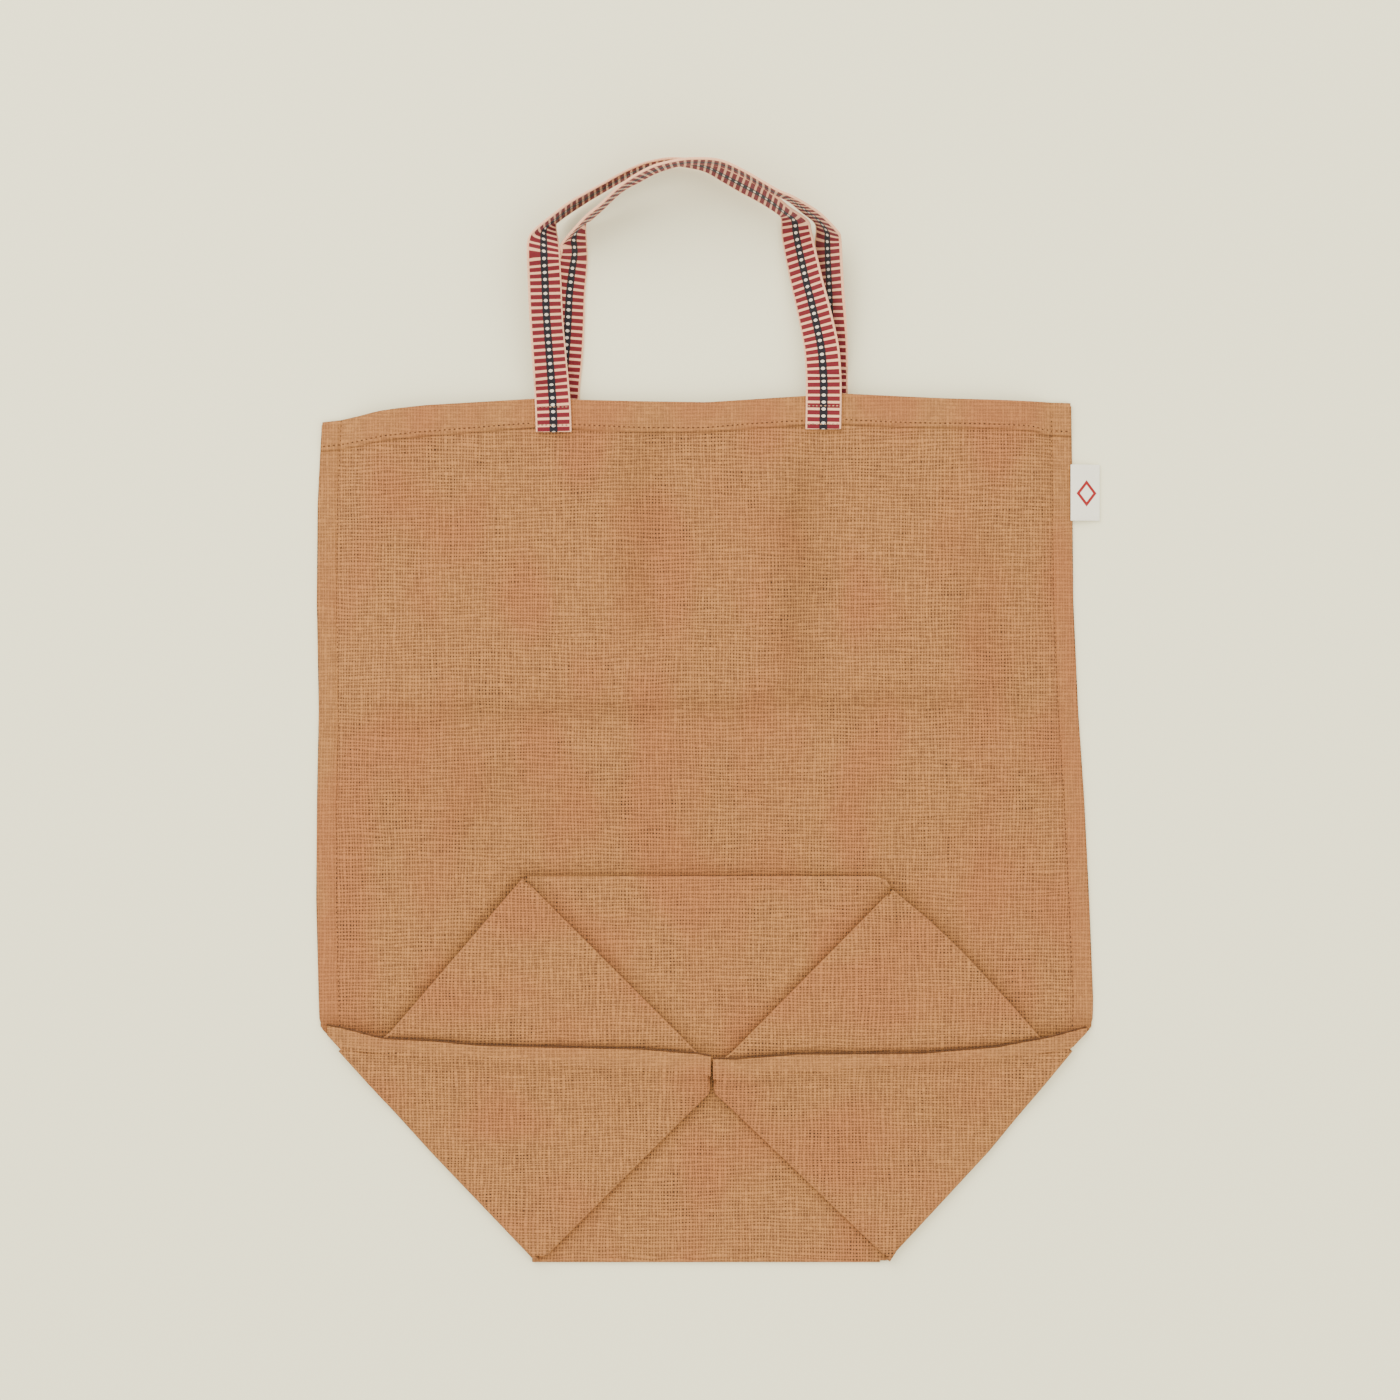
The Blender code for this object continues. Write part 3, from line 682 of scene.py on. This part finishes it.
def finPlace(side, lift):
    def place(x, share):
        top = lookUp(finTops[side], "x", "top", x) - fins["back"] * lift
        foot = finFoot(side, x) - fins["foot"] * lift * (1.0 - ramp(abs(x), 170.0, 190.0))
        y = blend(foot, top, share)
        wave = fins["wave"] * math.sin(x * fins["turn"]) * share
        height = finHeight(x, y) + lift + finCurl(side, x) * (0.4 + 0.6 * share) + wave
        return x, y, height + cloth / 2

    return place


def finShade(side):
    # The edge of the lower layer is painted dark above the upper one, as shade along the fin's top.
    return lambda x, y, column: 0.8 * ramp(y - lookUp(finTops[side], "x", "top", x), -1.8, -0.5)


def finDense(x, y):
    return 0.8 * ramp(y - foldRoot("left", x), 0.5, 2.5)


finRows = [0.0, 0.06, 0.14, 0.24, 0.36, 0.5, 0.64, 0.78, 0.87, 0.93, 0.97, 1.0]
for side in ("left", "right"):
    start, end = finTops[side][0]["x"], finTops[side][-1]["x"]
    for lift, shade in ((0.0, finShade(side)), (fins["step"], None)):
        laySheet(side + "Fin", steps(start, end, 2.5), finRows, finPlace(side, lift), sheetParts,
                 True, dense=finDense, shade=shade)
print("base and gussets laid")


def pickOnly(objects, active):
    bpy.ops.object.select_all(action="DESELECT")
    for item in objects:
        item.select_set(True)
    bpy.context.view_layer.objects.active = active


def thicken(piece, thickness, rounding=0.0):
    pickOnly([piece], piece)
    solid = piece.modifiers.new("Thickness", "SOLIDIFY")
    solid.thickness = thickness * mm
    solid.offset = 0.0
    bpy.ops.object.modifier_apply(modifier=solid.name)
    if rounding:
        soft = piece.modifiers.new("Soft edge", "BEVEL")
        soft.width = rounding * mm
        soft.segments = 2
        soft.limit_method = "ANGLE"
        soft.angle_limit = math.radians(60.0)
        bpy.ops.object.modifier_apply(modifier=soft.name)


def joinAll(objects, name):
    pickOnly(objects, objects[0])
    bpy.ops.object.join()
    objects[0].name = name
    return objects[0]


bagCloth = joinAll(sheetParts, "bagCloth")
foldStrips = joinAll(foldParts, "foldStrips")
thicken(bagCloth, cloth, 0.3)
thicken(foldStrips, foldSkin)
bagCloth = joinAll([bagCloth, foldStrips], "bagCloth")
print("cloth joined:", len(bagCloth.data.polygons), "faces")


# Handles
tapeWidth, tapeThick, tapeRound = 19.6, 1.3, 0.35


def curvePoint(points, index, t):
    # A smooth curve through the points, with t from 0 to 1 between two of them.
    before = points[max(index - 1, 0)]
    start, end = points[index], points[index + 1]
    after = points[min(index + 2, len(points) - 1)]
    leave, arrive = (end - before) / 2, (after - start) / 2
    return (start * (2 * t**3 - 3 * t**2 + 1) + leave * (t**3 - 2 * t**2 + t)
            + end * (3 * t**2 - 2 * t**3) + arrive * (t**3 - t**2))


def drawIn(x, y, z):
    # What stands nearer to the camera looks further out, and is drawn in again here.
    nearer = (cameraHeight - z) / cameraHeight
    return Vector((viewX + (x - viewX) * nearer, viewY + (y - viewY) * nearer, z))


def tapeStations(table, size):
    # Both edges of the webbing, its outer one raised as far as the width asks.
    inner = [Vector((*row["inner"], row["low"])) for row in table]
    outer = [Vector((*row["outer"], row.get("span", tapeWidth))) for row in table]
    curve = []
    for index in range(len(table) - 1):
        reach = (inner[index + 1] - inner[index]).xy + (outer[index + 1] - outer[index]).xy
        count = max(2, round(reach.length / 2 / size))
        for part in range(count):
            curve.append([curvePoint(points, index, part / count) for points in (inner, outer)])
    curve.append([inner[-1], outer[-1]])
    stations = []
    for near, far in curve:
        low = max(near.z, 0.0) + tapeThick / 2
        start = drawIn(near.x, near.y, low)
        top = low
        for _ in range(8):
            end = drawIn(far.x, far.y, top)
            top = low + math.sqrt(max(far.z**2 - (end - start).xy.length_squared, 0.0))
        stations.append((start, drawIn(far.x, far.y, top)))
    return stations


def layHandle(name, table):
    stations = tapeStations(table, 1.5)
    shares = steps(0.0, 1.0, 0.125)
    middles = [(start + end) / 2 for start, end in stations]
    lengths = [0.0]
    for start, end in zip(middles, middles[1:]):
        lengths.append(lengths[-1] + (end - start).length)

    def place(across, index):
        return stations[index][0].lerp(stations[index][1], across)

    handle = laySheet(name, shares, range(len(stations)), place, [])
    ribbon = bmesh.new()
    ribbon.from_mesh(handle.data)
    yarns = ribbon.loops.layers.uv["Yarns"]
    for face in ribbon.faces:
        for loop in face.loops:
            row, column = divmod(loop.vert.index, len(shares))
            before, after = middles[max(row - 2, 0)], middles[min(row + 2, len(middles) - 1)]
            slant = (stations[row][1] - stations[row][0]).dot((after - before).normalized())
            across = shares[column] - 0.5
            loop[yarns].uv = (across, (lengths[row] + across * slant) * mm)
    ribbon.to_mesh(handle.data)
    ribbon.free()
    thicken(handle, tapeThick, tapeRound)
    print(name, "length", round(lengths[-1], 1), "mm")
    return handle


handleFront = layHandle("handleFront", frontTape)
handleBack = layHandle("handleBack", backTape)


# Label folded double, its ends caught in the right seam
label = dict(left=199.7, right=215.7, low=302.0, high=332.8, seat=2.45, tip=0.9, bend=0.33,
             thick=0.45, round=0.1, middle=(208.4, 317.0), white=(228, 223, 202), red=(140, 30, 30))


def labelPlace(part, up):
    # part runs from the lower end to the fold and back over the top
    turn = math.radians(blend(-90.0, 90.0, ramp(part, 0.46, 0.54)))
    along = min((1.0 - abs(part - 0.5) * 2) / 0.92, 1.0)
    x = blend(label["left"], label["right"] - label["bend"], along) + label["bend"] * math.cos(turn)
    middle = blend(label["seat"], label["tip"], ease(along, 0.2, 1.0))
    return x, blend(label["low"], label["high"], up), middle + label["bend"] * math.sin(turn)


sideLabel = laySheet("sideLabel", steps(0.0, 1.0, 0.02), steps(0.0, 1.0, 0.1), labelPlace, [])
thicken(sideLabel, label["thick"], label["round"])


# Stitches: short runs of thread pressed into the cloth. The dark body stitches stand partly for the
# thread and partly as painted shade in the dimples it pulls into the cloth.
def topOf(x, y):
    return frontHeight(x, y) + cloth


def stitchRow(path, height, length, gap):
    # Stitches at even steps along a path of points, each with its middle, direction and height.
    stops, places = [0.0], [Vector(point) for point in path]
    for start, end in zip(places, places[1:]):
        stops.append(stops[-1] + (end - start).length)
    rows = []
    along = length / 2
    while along < stops[-1]:
        index = next(i for i in range(1, len(stops)) if stops[i] >= along)
        start, end = places[index - 1], places[index]
        spot = start.lerp(end, (along - stops[index - 1]) / (stops[index] - stops[index - 1]))
        turn = math.atan2(end.y - start.y, end.x - start.x)
        rows.append(dict(x=spot.x, y=spot.y, z=height(spot.x, spot.y), turn=turn))
        along += length + gap
    return rows


stitchSize = dict(length=1.35, gap=1.35, thick=0.8, high=0.4, aboveHem=2.2, inSeam=11.2,
                  footLength=1.6, footGap=0.6, footHalf=9.0)
hemRuns = [(-211.0, -95.5), (-73.0, 53.5), (75.5, 200.0)]  # beside and between the front feet
sewnFeet = [(-84.0, 351.6), (63.9, 352.2)]
stitchRows, footRows = [], []
for start, end in hemRuns:
    path = [(x, hemLine(x) + stitchSize["aboveHem"]) for x in steps(start, end, 4.0)]
    stitchRows += stitchRow(path, topOf, stitchSize["length"], stitchSize["gap"])
for side, away in (("left", stitchSize["inSeam"]), ("right", -stitchSize["inSeam"])):
    path = [(bodyEdge(side, y) + away, y) for y in steps(24.0, 357.0, 4.0)]
    stitchRows += stitchRow(path, topOf, stitchSize["length"], stitchSize["gap"])
for middle, foot in sewnFeet:
    for y in (foot + 2.0, foot + 12.0):
        path = [(middle - stitchSize["footHalf"], y), (middle + stitchSize["footHalf"], y)]
        footRows += stitchRow(path, level(footHeight + tapeThick), stitchSize["footLength"],
                              stitchSize["footGap"])


def addStitch(row):
    bpy.ops.mesh.primitive_uv_sphere_add(
        segments=8, ring_count=6, radius=0.5,
        location=Vector((row["x"], row["y"], row["z"])) * mm + shift,
        rotation=(0.0, 0.0, row["turn"]),
        scale=(stitchSize["length"] * mm, stitchSize["thick"] * mm, stitchSize["high"] * mm))


def sewRows(rows, name):
    # Made in short runs, because a small mesh takes each new stitch faster.
    runs, run = [], 40
    for start in range(0, len(rows), run):
        bpy.ops.object.select_all(action="DESELECT")
        addStitch(rows[start])
        bpy.ops.object.transform_apply(location=True, rotation=True, scale=True)
        bpy.ops.object.mode_set(mode="EDIT")
        for row in rows[start + 1:start + run]:
            addStitch(row)
        bpy.ops.object.mode_set(mode="OBJECT")
        bpy.ops.object.shade_smooth()
        runs.append(bpy.context.object)
    print(name, "sewn:", len(rows), "stitches")
    return joinAll(runs, name)


stitches = sewRows(stitchRows, "stitches")
footStitches = sewRows(footRows, "footStitches")


# Materials
def toLinear(colour):
    parts = []
    for value in colour:
        share = value / 255.0
        parts.append(share / 12.92 if share <= 0.04045 else ((share + 0.055) / 1.055) ** 2.4)
    return (*parts, 1.0)


def feed(tree, node, key, value):
    if isinstance(value, bpy.types.NodeSocket):
        tree.links.new(value, node.inputs[key])
    else:
        node.inputs[key].default_value = value


def calc(tree, operation, *values):
    node = tree.nodes.new("ShaderNodeMath")
    node.operation = operation
    for index, value in enumerate(values):
        feed(tree, node, index, value)
    return node.outputs[0]


def times(tree, first, second):
    return calc(tree, "MULTIPLY", first, second)


def plus(tree, first, second):
    return calc(tree, "ADD", first, second)


def minus(tree, first, second):
    return calc(tree, "SUBTRACT", first, second)


def soften(tree, value, start, end, low=0.0, high=1.0):
    node = tree.nodes.new("ShaderNodeMapRange")
    node.interpolation_type = "SMOOTHSTEP"
    for index, item in enumerate((value, start, end, low, high)):
        feed(tree, node, index, item)
    return node.outputs[0]


def speckle(tree, x, y, stretch, seed, detail=0.0):
    # Noise over two values, each stretched by its own factor.
    vector = tree.nodes.new("ShaderNodeCombineXYZ")
    for index, value in enumerate((times(tree, x, stretch[0]), times(tree, y, stretch[1]), seed)):
        feed(tree, vector, index, value)
    node = tree.nodes.new("ShaderNodeTexNoise")
    node.inputs["Scale"].default_value = 1.0
    node.inputs["Detail"].default_value = detail
    tree.links.new(vector.outputs[0], node.inputs["Vector"])
    return node.outputs["Fac"]


def mixColour(tree, share, first, second, kind="MIX"):
    node = tree.nodes.new("ShaderNodeMix")
    node.data_type = "RGBA"
    node.blend_type = kind
    feed(tree, node, "Factor", share)
    feed(tree, node, 6, first)
    feed(tree, node, 7, second)
    return node.outputs[2]


def newGroup(name, inputs, outputs):
    group = bpy.data.node_groups.new(name, "ShaderNodeTree")
    for way, titles in (("INPUT", inputs), ("OUTPUT", outputs)):
        for title in titles:
            group.interface.new_socket(title, in_out=way, socket_type="NodeSocketFloat")
    return group, group.nodes.new("NodeGroupInput"), group.nodes.new("NodeGroupOutput")


def useGroup(tree, group, **values):
    node = tree.nodes.new("ShaderNodeGroup")
    node.node_tree = group
    for key, value in values.items():
        feed(tree, node, key, value)
    return node.outputs


# How yarns drift, crowd and thicken, as parts of their spacing, and how they rise over each other
yarnShape = dict(drift=1.8, crowd=0.9, half=0.19, vary=0.20, soft=0.07, lift=0.67, wave=0.33,
                 crown=3.0)


def makeYarnGrid():
    # A plain weave: where it is open, how high its upper yarn lies and how light that yarn is.
    group, enter, leave = newGroup("Yarn grid", ["Across", "Along", "Seed"],
                                   ["Gap", "Height", "Tone"])
    across, along, seed = enter.outputs[0], enter.outputs[1], enter.outputs[2]
    drift = speckle(group, across, along, (0.05, 0.02), seed)
    sway = speckle(group, across, along, (0.02, 0.05), plus(group, seed, 4.0))
    across = plus(group, across, times(group, drift, yarnShape["drift"]))
    along = plus(group, along, times(group, sway, yarnShape["drift"]))
    # uneven spacing between neighbours
    shiver = speckle(group, across, along, (0.7, 0.09), seed)
    quiver = speckle(group, across, along, (0.09, 0.7), seed)
    across = plus(group, across, times(group, shiver, yarnShape["crowd"]))
    along = plus(group, along, times(group, quiver, yarnShape["crowd"]))
    column, row = calc(group, "FLOOR", across), calc(group, "FLOOR", along)
    offAcross = calc(group, "ABSOLUTE", minus(group, calc(group, "FRACT", across), 0.5))
    offAlong = calc(group, "ABSOLUTE", minus(group, calc(group, "FRACT", along), 0.5))
    warp = speckle(group, column, along, (3.17, 0.30), seed)
    weft = speckle(group, across, row, (0.30, 3.17), plus(group, seed, 9.0))

    def cover(off, tone):
        half = calc(group, "MULTIPLY_ADD", tone, yarnShape["vary"], yarnShape["half"])
        soft = yarnShape["soft"]
        return soften(group, minus(group, off, half), -soft, soft, 1.0, 0.0)

    def rise(covered, off, place, other, sign):
        wave = calc(group, "SINE", times(group, plus(group, place, other), math.pi))
        lift = calc(group, "MULTIPLY_ADD", wave, yarnShape["wave"] * sign, yarnShape["lift"])
        crown = minus(group, 1.0, times(group, calc(group, "POWER", off, 2.0), yarnShape["crown"]))
        return times(group, covered, times(group, lift, crown))

    warpCover, weftCover = cover(offAcross, warp), cover(offAlong, weft)
    warpRise = rise(warpCover, offAcross, along, column, 1.0)
    weftRise = rise(weftCover, offAlong, across, row, -1.0)
    isWarp = calc(group, "GREATER_THAN", warpRise, weftRise)
    isWeft = minus(group, 1.0, isWarp)
    gap = times(group, minus(group, 1.0, warpCover), minus(group, 1.0, weftCover))
    feed(group, leave, "Gap", gap)
    feed(group, leave, "Height", calc(group, "MAXIMUM", warpRise, weftRise))
    feed(group, leave, "Tone", plus(group, times(group, warp, isWarp), times(group, weft, isWeft)))
    return group


def uvParts(tree):
    uv = tree.nodes.new("ShaderNodeUVMap")
    uv.uv_map = "Yarns"
    split = tree.nodes.new("ShaderNodeSeparateXYZ")
    tree.links.new(uv.outputs[0], split.inputs[0])
    return split.outputs[0], split.outputs[1]


def newMaterial(name, roughness):
    material = bpy.data.materials.new(name)
    material.use_nodes = True
    shader = material.node_tree.nodes["Principled BSDF"]
    shader.inputs["Roughness"].default_value = roughness
    shader.inputs["Specular IOR Level"].default_value = 0.2
    return material, material.node_tree, shader


def addBump(tree, shader, height, distance, strength=1.0):
    bump = tree.nodes.new("ShaderNodeBump")
    bump.inputs["Strength"].default_value = strength
    bump.inputs["Distance"].default_value = distance
    tree.links.new(height, bump.inputs["Height"])
    tree.links.new(bump.outputs[0], shader.inputs["Normal"])


yarnGrid = makeYarnGrid()
# Jute yarn tones, then darker colours that paint the shade seen through the holes and in the
# crevices.
jute = dict(light=(157, 107, 60), dark=(141, 95, 55), red=(148, 89, 53), under=(102, 67, 40),
            holeShade=(52, 34, 21), fold=(62, 37, 20), warp=0.00165, weft=0.00200)


def readMark(tree, name):
    node = tree.nodes.new("ShaderNodeAttribute")
    node.attribute_name = name
    return node.outputs["Fac"]


def makeJute():
    material, tree, shader = newMaterial("jute", 0.92)
    shader.inputs["Sheen Weight"].default_value = 0.04
    shader.inputs["Sheen Roughness"].default_value = 0.5
    shader.inputs["Specular IOR Level"].default_value = 0.1
    across, along = uvParts(tree)
    warps, wefts = times(tree, across, 1 / jute["warp"]), times(tree, along, 1 / jute["weft"])
    top = useGroup(tree, yarnGrid, Across=warps, Along=wefts, Seed=1.0)
    # The layer underneath has its own spacing, so it fills the holes in some places only.
    below = useGroup(tree, yarnGrid, Across=calc(tree, "MULTIPLY_ADD", warps, 0.92, 0.3),
                     Along=calc(tree, "MULTIPLY_ADD", wefts, 1.07, 0.6), Seed=5.0)
    closed = readMark(tree, "dense")
    broad = speckle(tree, across, along, (22.0, 13.0), 2.0, 1.0)
    yarn = mixColour(tree, soften(tree, top["Tone"], 0.2, 0.8), toLinear(jute["dark"]),
                     toLinear(jute["light"]))
    yarn = mixColour(tree, soften(tree, broad, 0.40, 0.66, 0.0, 0.55), yarn, toLinear(jute["red"]))
    # Painted shade: yarns darken towards their edges and where they dip, less so where the cloth is
    # double.
    relief = calc(tree, "MULTIPLY_ADD", top["Height"], 0.6, 0.56)
    depth = plus(tree, times(tree, relief, calc(tree, "MULTIPLY_ADD", closed, -0.6, 1.0)),
                 times(tree, closed, 0.6))
    grey = tree.nodes.new("ShaderNodeCombineColor")
    for index in range(3):
        feed(tree, grey, index, depth)
    yarn = mixColour(tree, 1.0, yarn, grey.outputs[0], "MULTIPLY")
    # Through the holes the layer underneath shows in painted shade: its yarns darkened and its own
    # holes nearly black.
    seen = mixColour(tree, below["Gap"], toLinear(jute["under"]), toLinear(jute["holeShade"]))
    # The holes are wide open in some patches and nearly shut in others.
    patch = speckle(tree, across, along, (31.0, 24.0), 7.0, 2.0)
    wide = soften(tree, patch, 0.36, 0.62, 0.55, 1.0)
    opening = times(tree, times(tree, top["Gap"], wide),
                    calc(tree, "MULTIPLY_ADD", closed, -0.85, 1.0))
    colour = mixColour(tree, opening, yarn, seen)
    # Painted shade from the shade mark: crevices at folds and layers, crease troughs and the shadow
    # under the hem.
    colour = mixColour(tree, readMark(tree, "shade"), colour, toLinear(jute["fold"]))
    tree.links.new(colour, shader.inputs["Base Color"])
    addBump(tree, shader, top["Height"], 0.0005, 0.8)
    return material


webbing = dict(red=(105, 23, 31), cream=(224, 168, 130), navy=(24, 20, 26), dot=(207, 196, 176),
               pitch=0.00380, bar=(0.29, 0.36), band=(0.10, 0.125), dotLength=4.6, dotWidth=17.0,
               edge=(0.445, 0.465), ribs=26.0, picks=2.0)


def makeWebbing(name, phase):
    material, tree, shader = newMaterial(name, 0.85)
    shader.inputs["Sheen Weight"].default_value = 0.1
    across, along = uvParts(tree)
    bars = calc(tree, "MULTIPLY_ADD", along, 1 / webbing["pitch"], phase)
    off = calc(tree, "ABSOLUTE", across)
    fromBar = calc(tree, "ABSOLUTE", minus(tree, calc(tree, "FRACT", bars), 0.5))
    isBar = soften(tree, fromBar, *webbing["bar"], 1.0, 0.0)
    colour = mixColour(tree, isBar, toLinear(webbing["cream"]), toLinear(webbing["red"]))
    band = soften(tree, off, *webbing["band"], 1.0, 0.0)
    colour = mixColour(tree, band, colour, toLinear(webbing["navy"]))
    # white dots sit in the cream rows of the dark band
    dotAlong = times(tree, minus(tree, 0.5, fromBar), webbing["dotLength"])
    dotAcross = times(tree, off, webbing["dotWidth"])
    fromDot = plus(tree, calc(tree, "POWER", dotAlong, 2.0), calc(tree, "POWER", dotAcross, 2.0))
    isDot = soften(tree, fromDot, 0.75, 1.15, 1.0, 0.0)
    colour = mixColour(tree, isDot, colour, toLinear(webbing["dot"]))
    edge = soften(tree, off, *webbing["edge"])
    colour = mixColour(tree, edge, colour, toLinear(webbing["cream"]))
    tree.links.new(colour, shader.inputs["Base Color"])
    ribs = calc(tree, "SINE", times(tree, across, 2 * math.pi * webbing["ribs"]))
    picks = calc(tree, "SINE", times(tree, bars, 2 * math.pi * webbing["picks"]))
    addBump(tree, shader, plus(tree, ribs, picks), 0.00018, 0.6)
    return material


mark = dict(slant=1.3, outer=(0.0072, 0.0075), inner=(0.0046, 0.0049), warp=0.0004, weft=0.0003)


def makeLabel():
    # White woven tape with a red outlined diamond
    material, tree, shader = newMaterial("labelTape", 0.8)
    across, along = uvParts(tree)
    localX = minus(tree, across, label["middle"][0] * mm + shift.x)
    localY = minus(tree, along, label["middle"][1] * mm + shift.y)
    reach = plus(tree, times(tree, calc(tree, "ABSOLUTE", localX), mark["slant"]),
                 calc(tree, "ABSOLUTE", localY))
    ring = times(tree, soften(tree, reach, *mark["outer"], 1.0, 0.0),
                 soften(tree, reach, *mark["inner"]))
    colour = mixColour(tree, ring, toLinear(label["white"]), toLinear(label["red"]))
    tree.links.new(colour, shader.inputs["Base Color"])
    weave = plus(tree, calc(tree, "SINE", times(tree, across, 2 * math.pi / mark["warp"])),
                 calc(tree, "SINE", times(tree, along, 2 * math.pi / mark["weft"])))
    addBump(tree, shader, weave, 0.00005, 0.5)
    return material


def makeThread(name, colour):
    material, tree, shader = newMaterial(name, 0.8)
    place = tree.nodes.new("ShaderNodeTexCoord").outputs["Object"]
    fibre = tree.nodes.new("ShaderNodeTexNoise")
    fibre.inputs["Scale"].default_value = 900.0
    tree.links.new(place, fibre.inputs["Vector"])
    deep = tuple(value * 0.6 for value in colour)
    share = soften(tree, fibre.outputs["Fac"], 0.35, 0.6)
    thread = mixColour(tree, share, toLinear(deep), toLinear(colour))
    tree.links.new(thread, shader.inputs["Base Color"])
    addBump(tree, shader, fibre.outputs["Fac"], 0.0002)
    return material


pieces = [
    dict(piece=bagCloth, material=makeJute(), node="bag_body", slot="jute_cloth"),
    dict(piece=handleFront, material=makeWebbing("frontWebbing", 0.1), node="handle_front",
         slot="front_webbing"),
    dict(piece=handleBack, material=makeWebbing("backWebbing", 0.4), node="handle_back",
         slot="back_webbing"),
    dict(piece=sideLabel, material=makeLabel(), node="side_label", slot="label_tape"),
]
for row in pieces:
    row["piece"].data.materials.clear()
    row["piece"].data.materials.append(row["material"])
    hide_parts(row["node"])
    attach(row["piece"], "root")
threads = [
    # The body thread is dark brown, partly as painted shade of the stitch dimples; the foot thread
    # is the cream thread itself.
    dict(piece=stitches, name="bodyThreadAndShade", colour=(90, 55, 30)),
    dict(piece=footStitches, name="footThread", colour=(166, 127, 97)),
]
for row in threads:
    row["piece"].data.materials.append(makeThread(row["name"], row["colour"]))
    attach(row["piece"], "root")

print("pieces declared")

# Table, light and camera
tableTop = dict(size=6.0, colour=(231, 226, 190), roughness=0.7)
bpy.ops.object.select_all(action="DESELECT")
bpy.ops.mesh.primitive_plane_add(size=tableTop["size"], location=(0.0, 0.0, 0.0))
floor = bpy.context.object
floor.name = "floor"
paint, _, paintShader = newMaterial("paleTable", tableTop["roughness"])
paintShader.inputs["Base Color"].default_value = toLinear(tableTop["colour"])
floor.data.materials.append(paint)


def addLight(name, place, size, power, colour):
    bpy.ops.object.light_add(type="AREA", location=place)
    light = bpy.context.object
    light.name = name
    light.data.size = size
    light.data.energy = power
    light.data.color = colour
    light.rotation_mode = "QUATERNION"
    light.rotation_quaternion = (-Vector(place)).to_track_quat("-Z", "Y")


lights = [
    dict(name="keyLight", place=(-1.3, 1.7, 1.9), size=2.4, power=98.0, colour=(1.0, 0.98, 0.94)),
    dict(name="fillLight", place=(1.4, -0.8, 2.2), size=2.8, power=38.0, colour=(1.0, 0.99, 0.95)),
]
for row in lights:
    addLight(**row)
studio = dict(colour=(1.0, 0.985, 0.95, 1.0), strength=1.9)
world = bpy.data.worlds.new("studio")
world.use_nodes = True
background = world.node_tree.nodes["Background"]
background.inputs["Color"].default_value = studio["colour"]
background.inputs["Strength"].default_value = studio["strength"]
bpy.context.scene.world = world

view = dict(place=(-4.49 * mm, 4.52 * mm, 1.604), lens=75.0, sensor=36.0)
bpy.ops.object.camera_add(location=view["place"], rotation=(0.0, 0.0, 0.0))
camera = bpy.context.object
camera.data.lens = view["lens"]
camera.data.sensor_width = view["sensor"]
bpy.context.scene.camera = camera
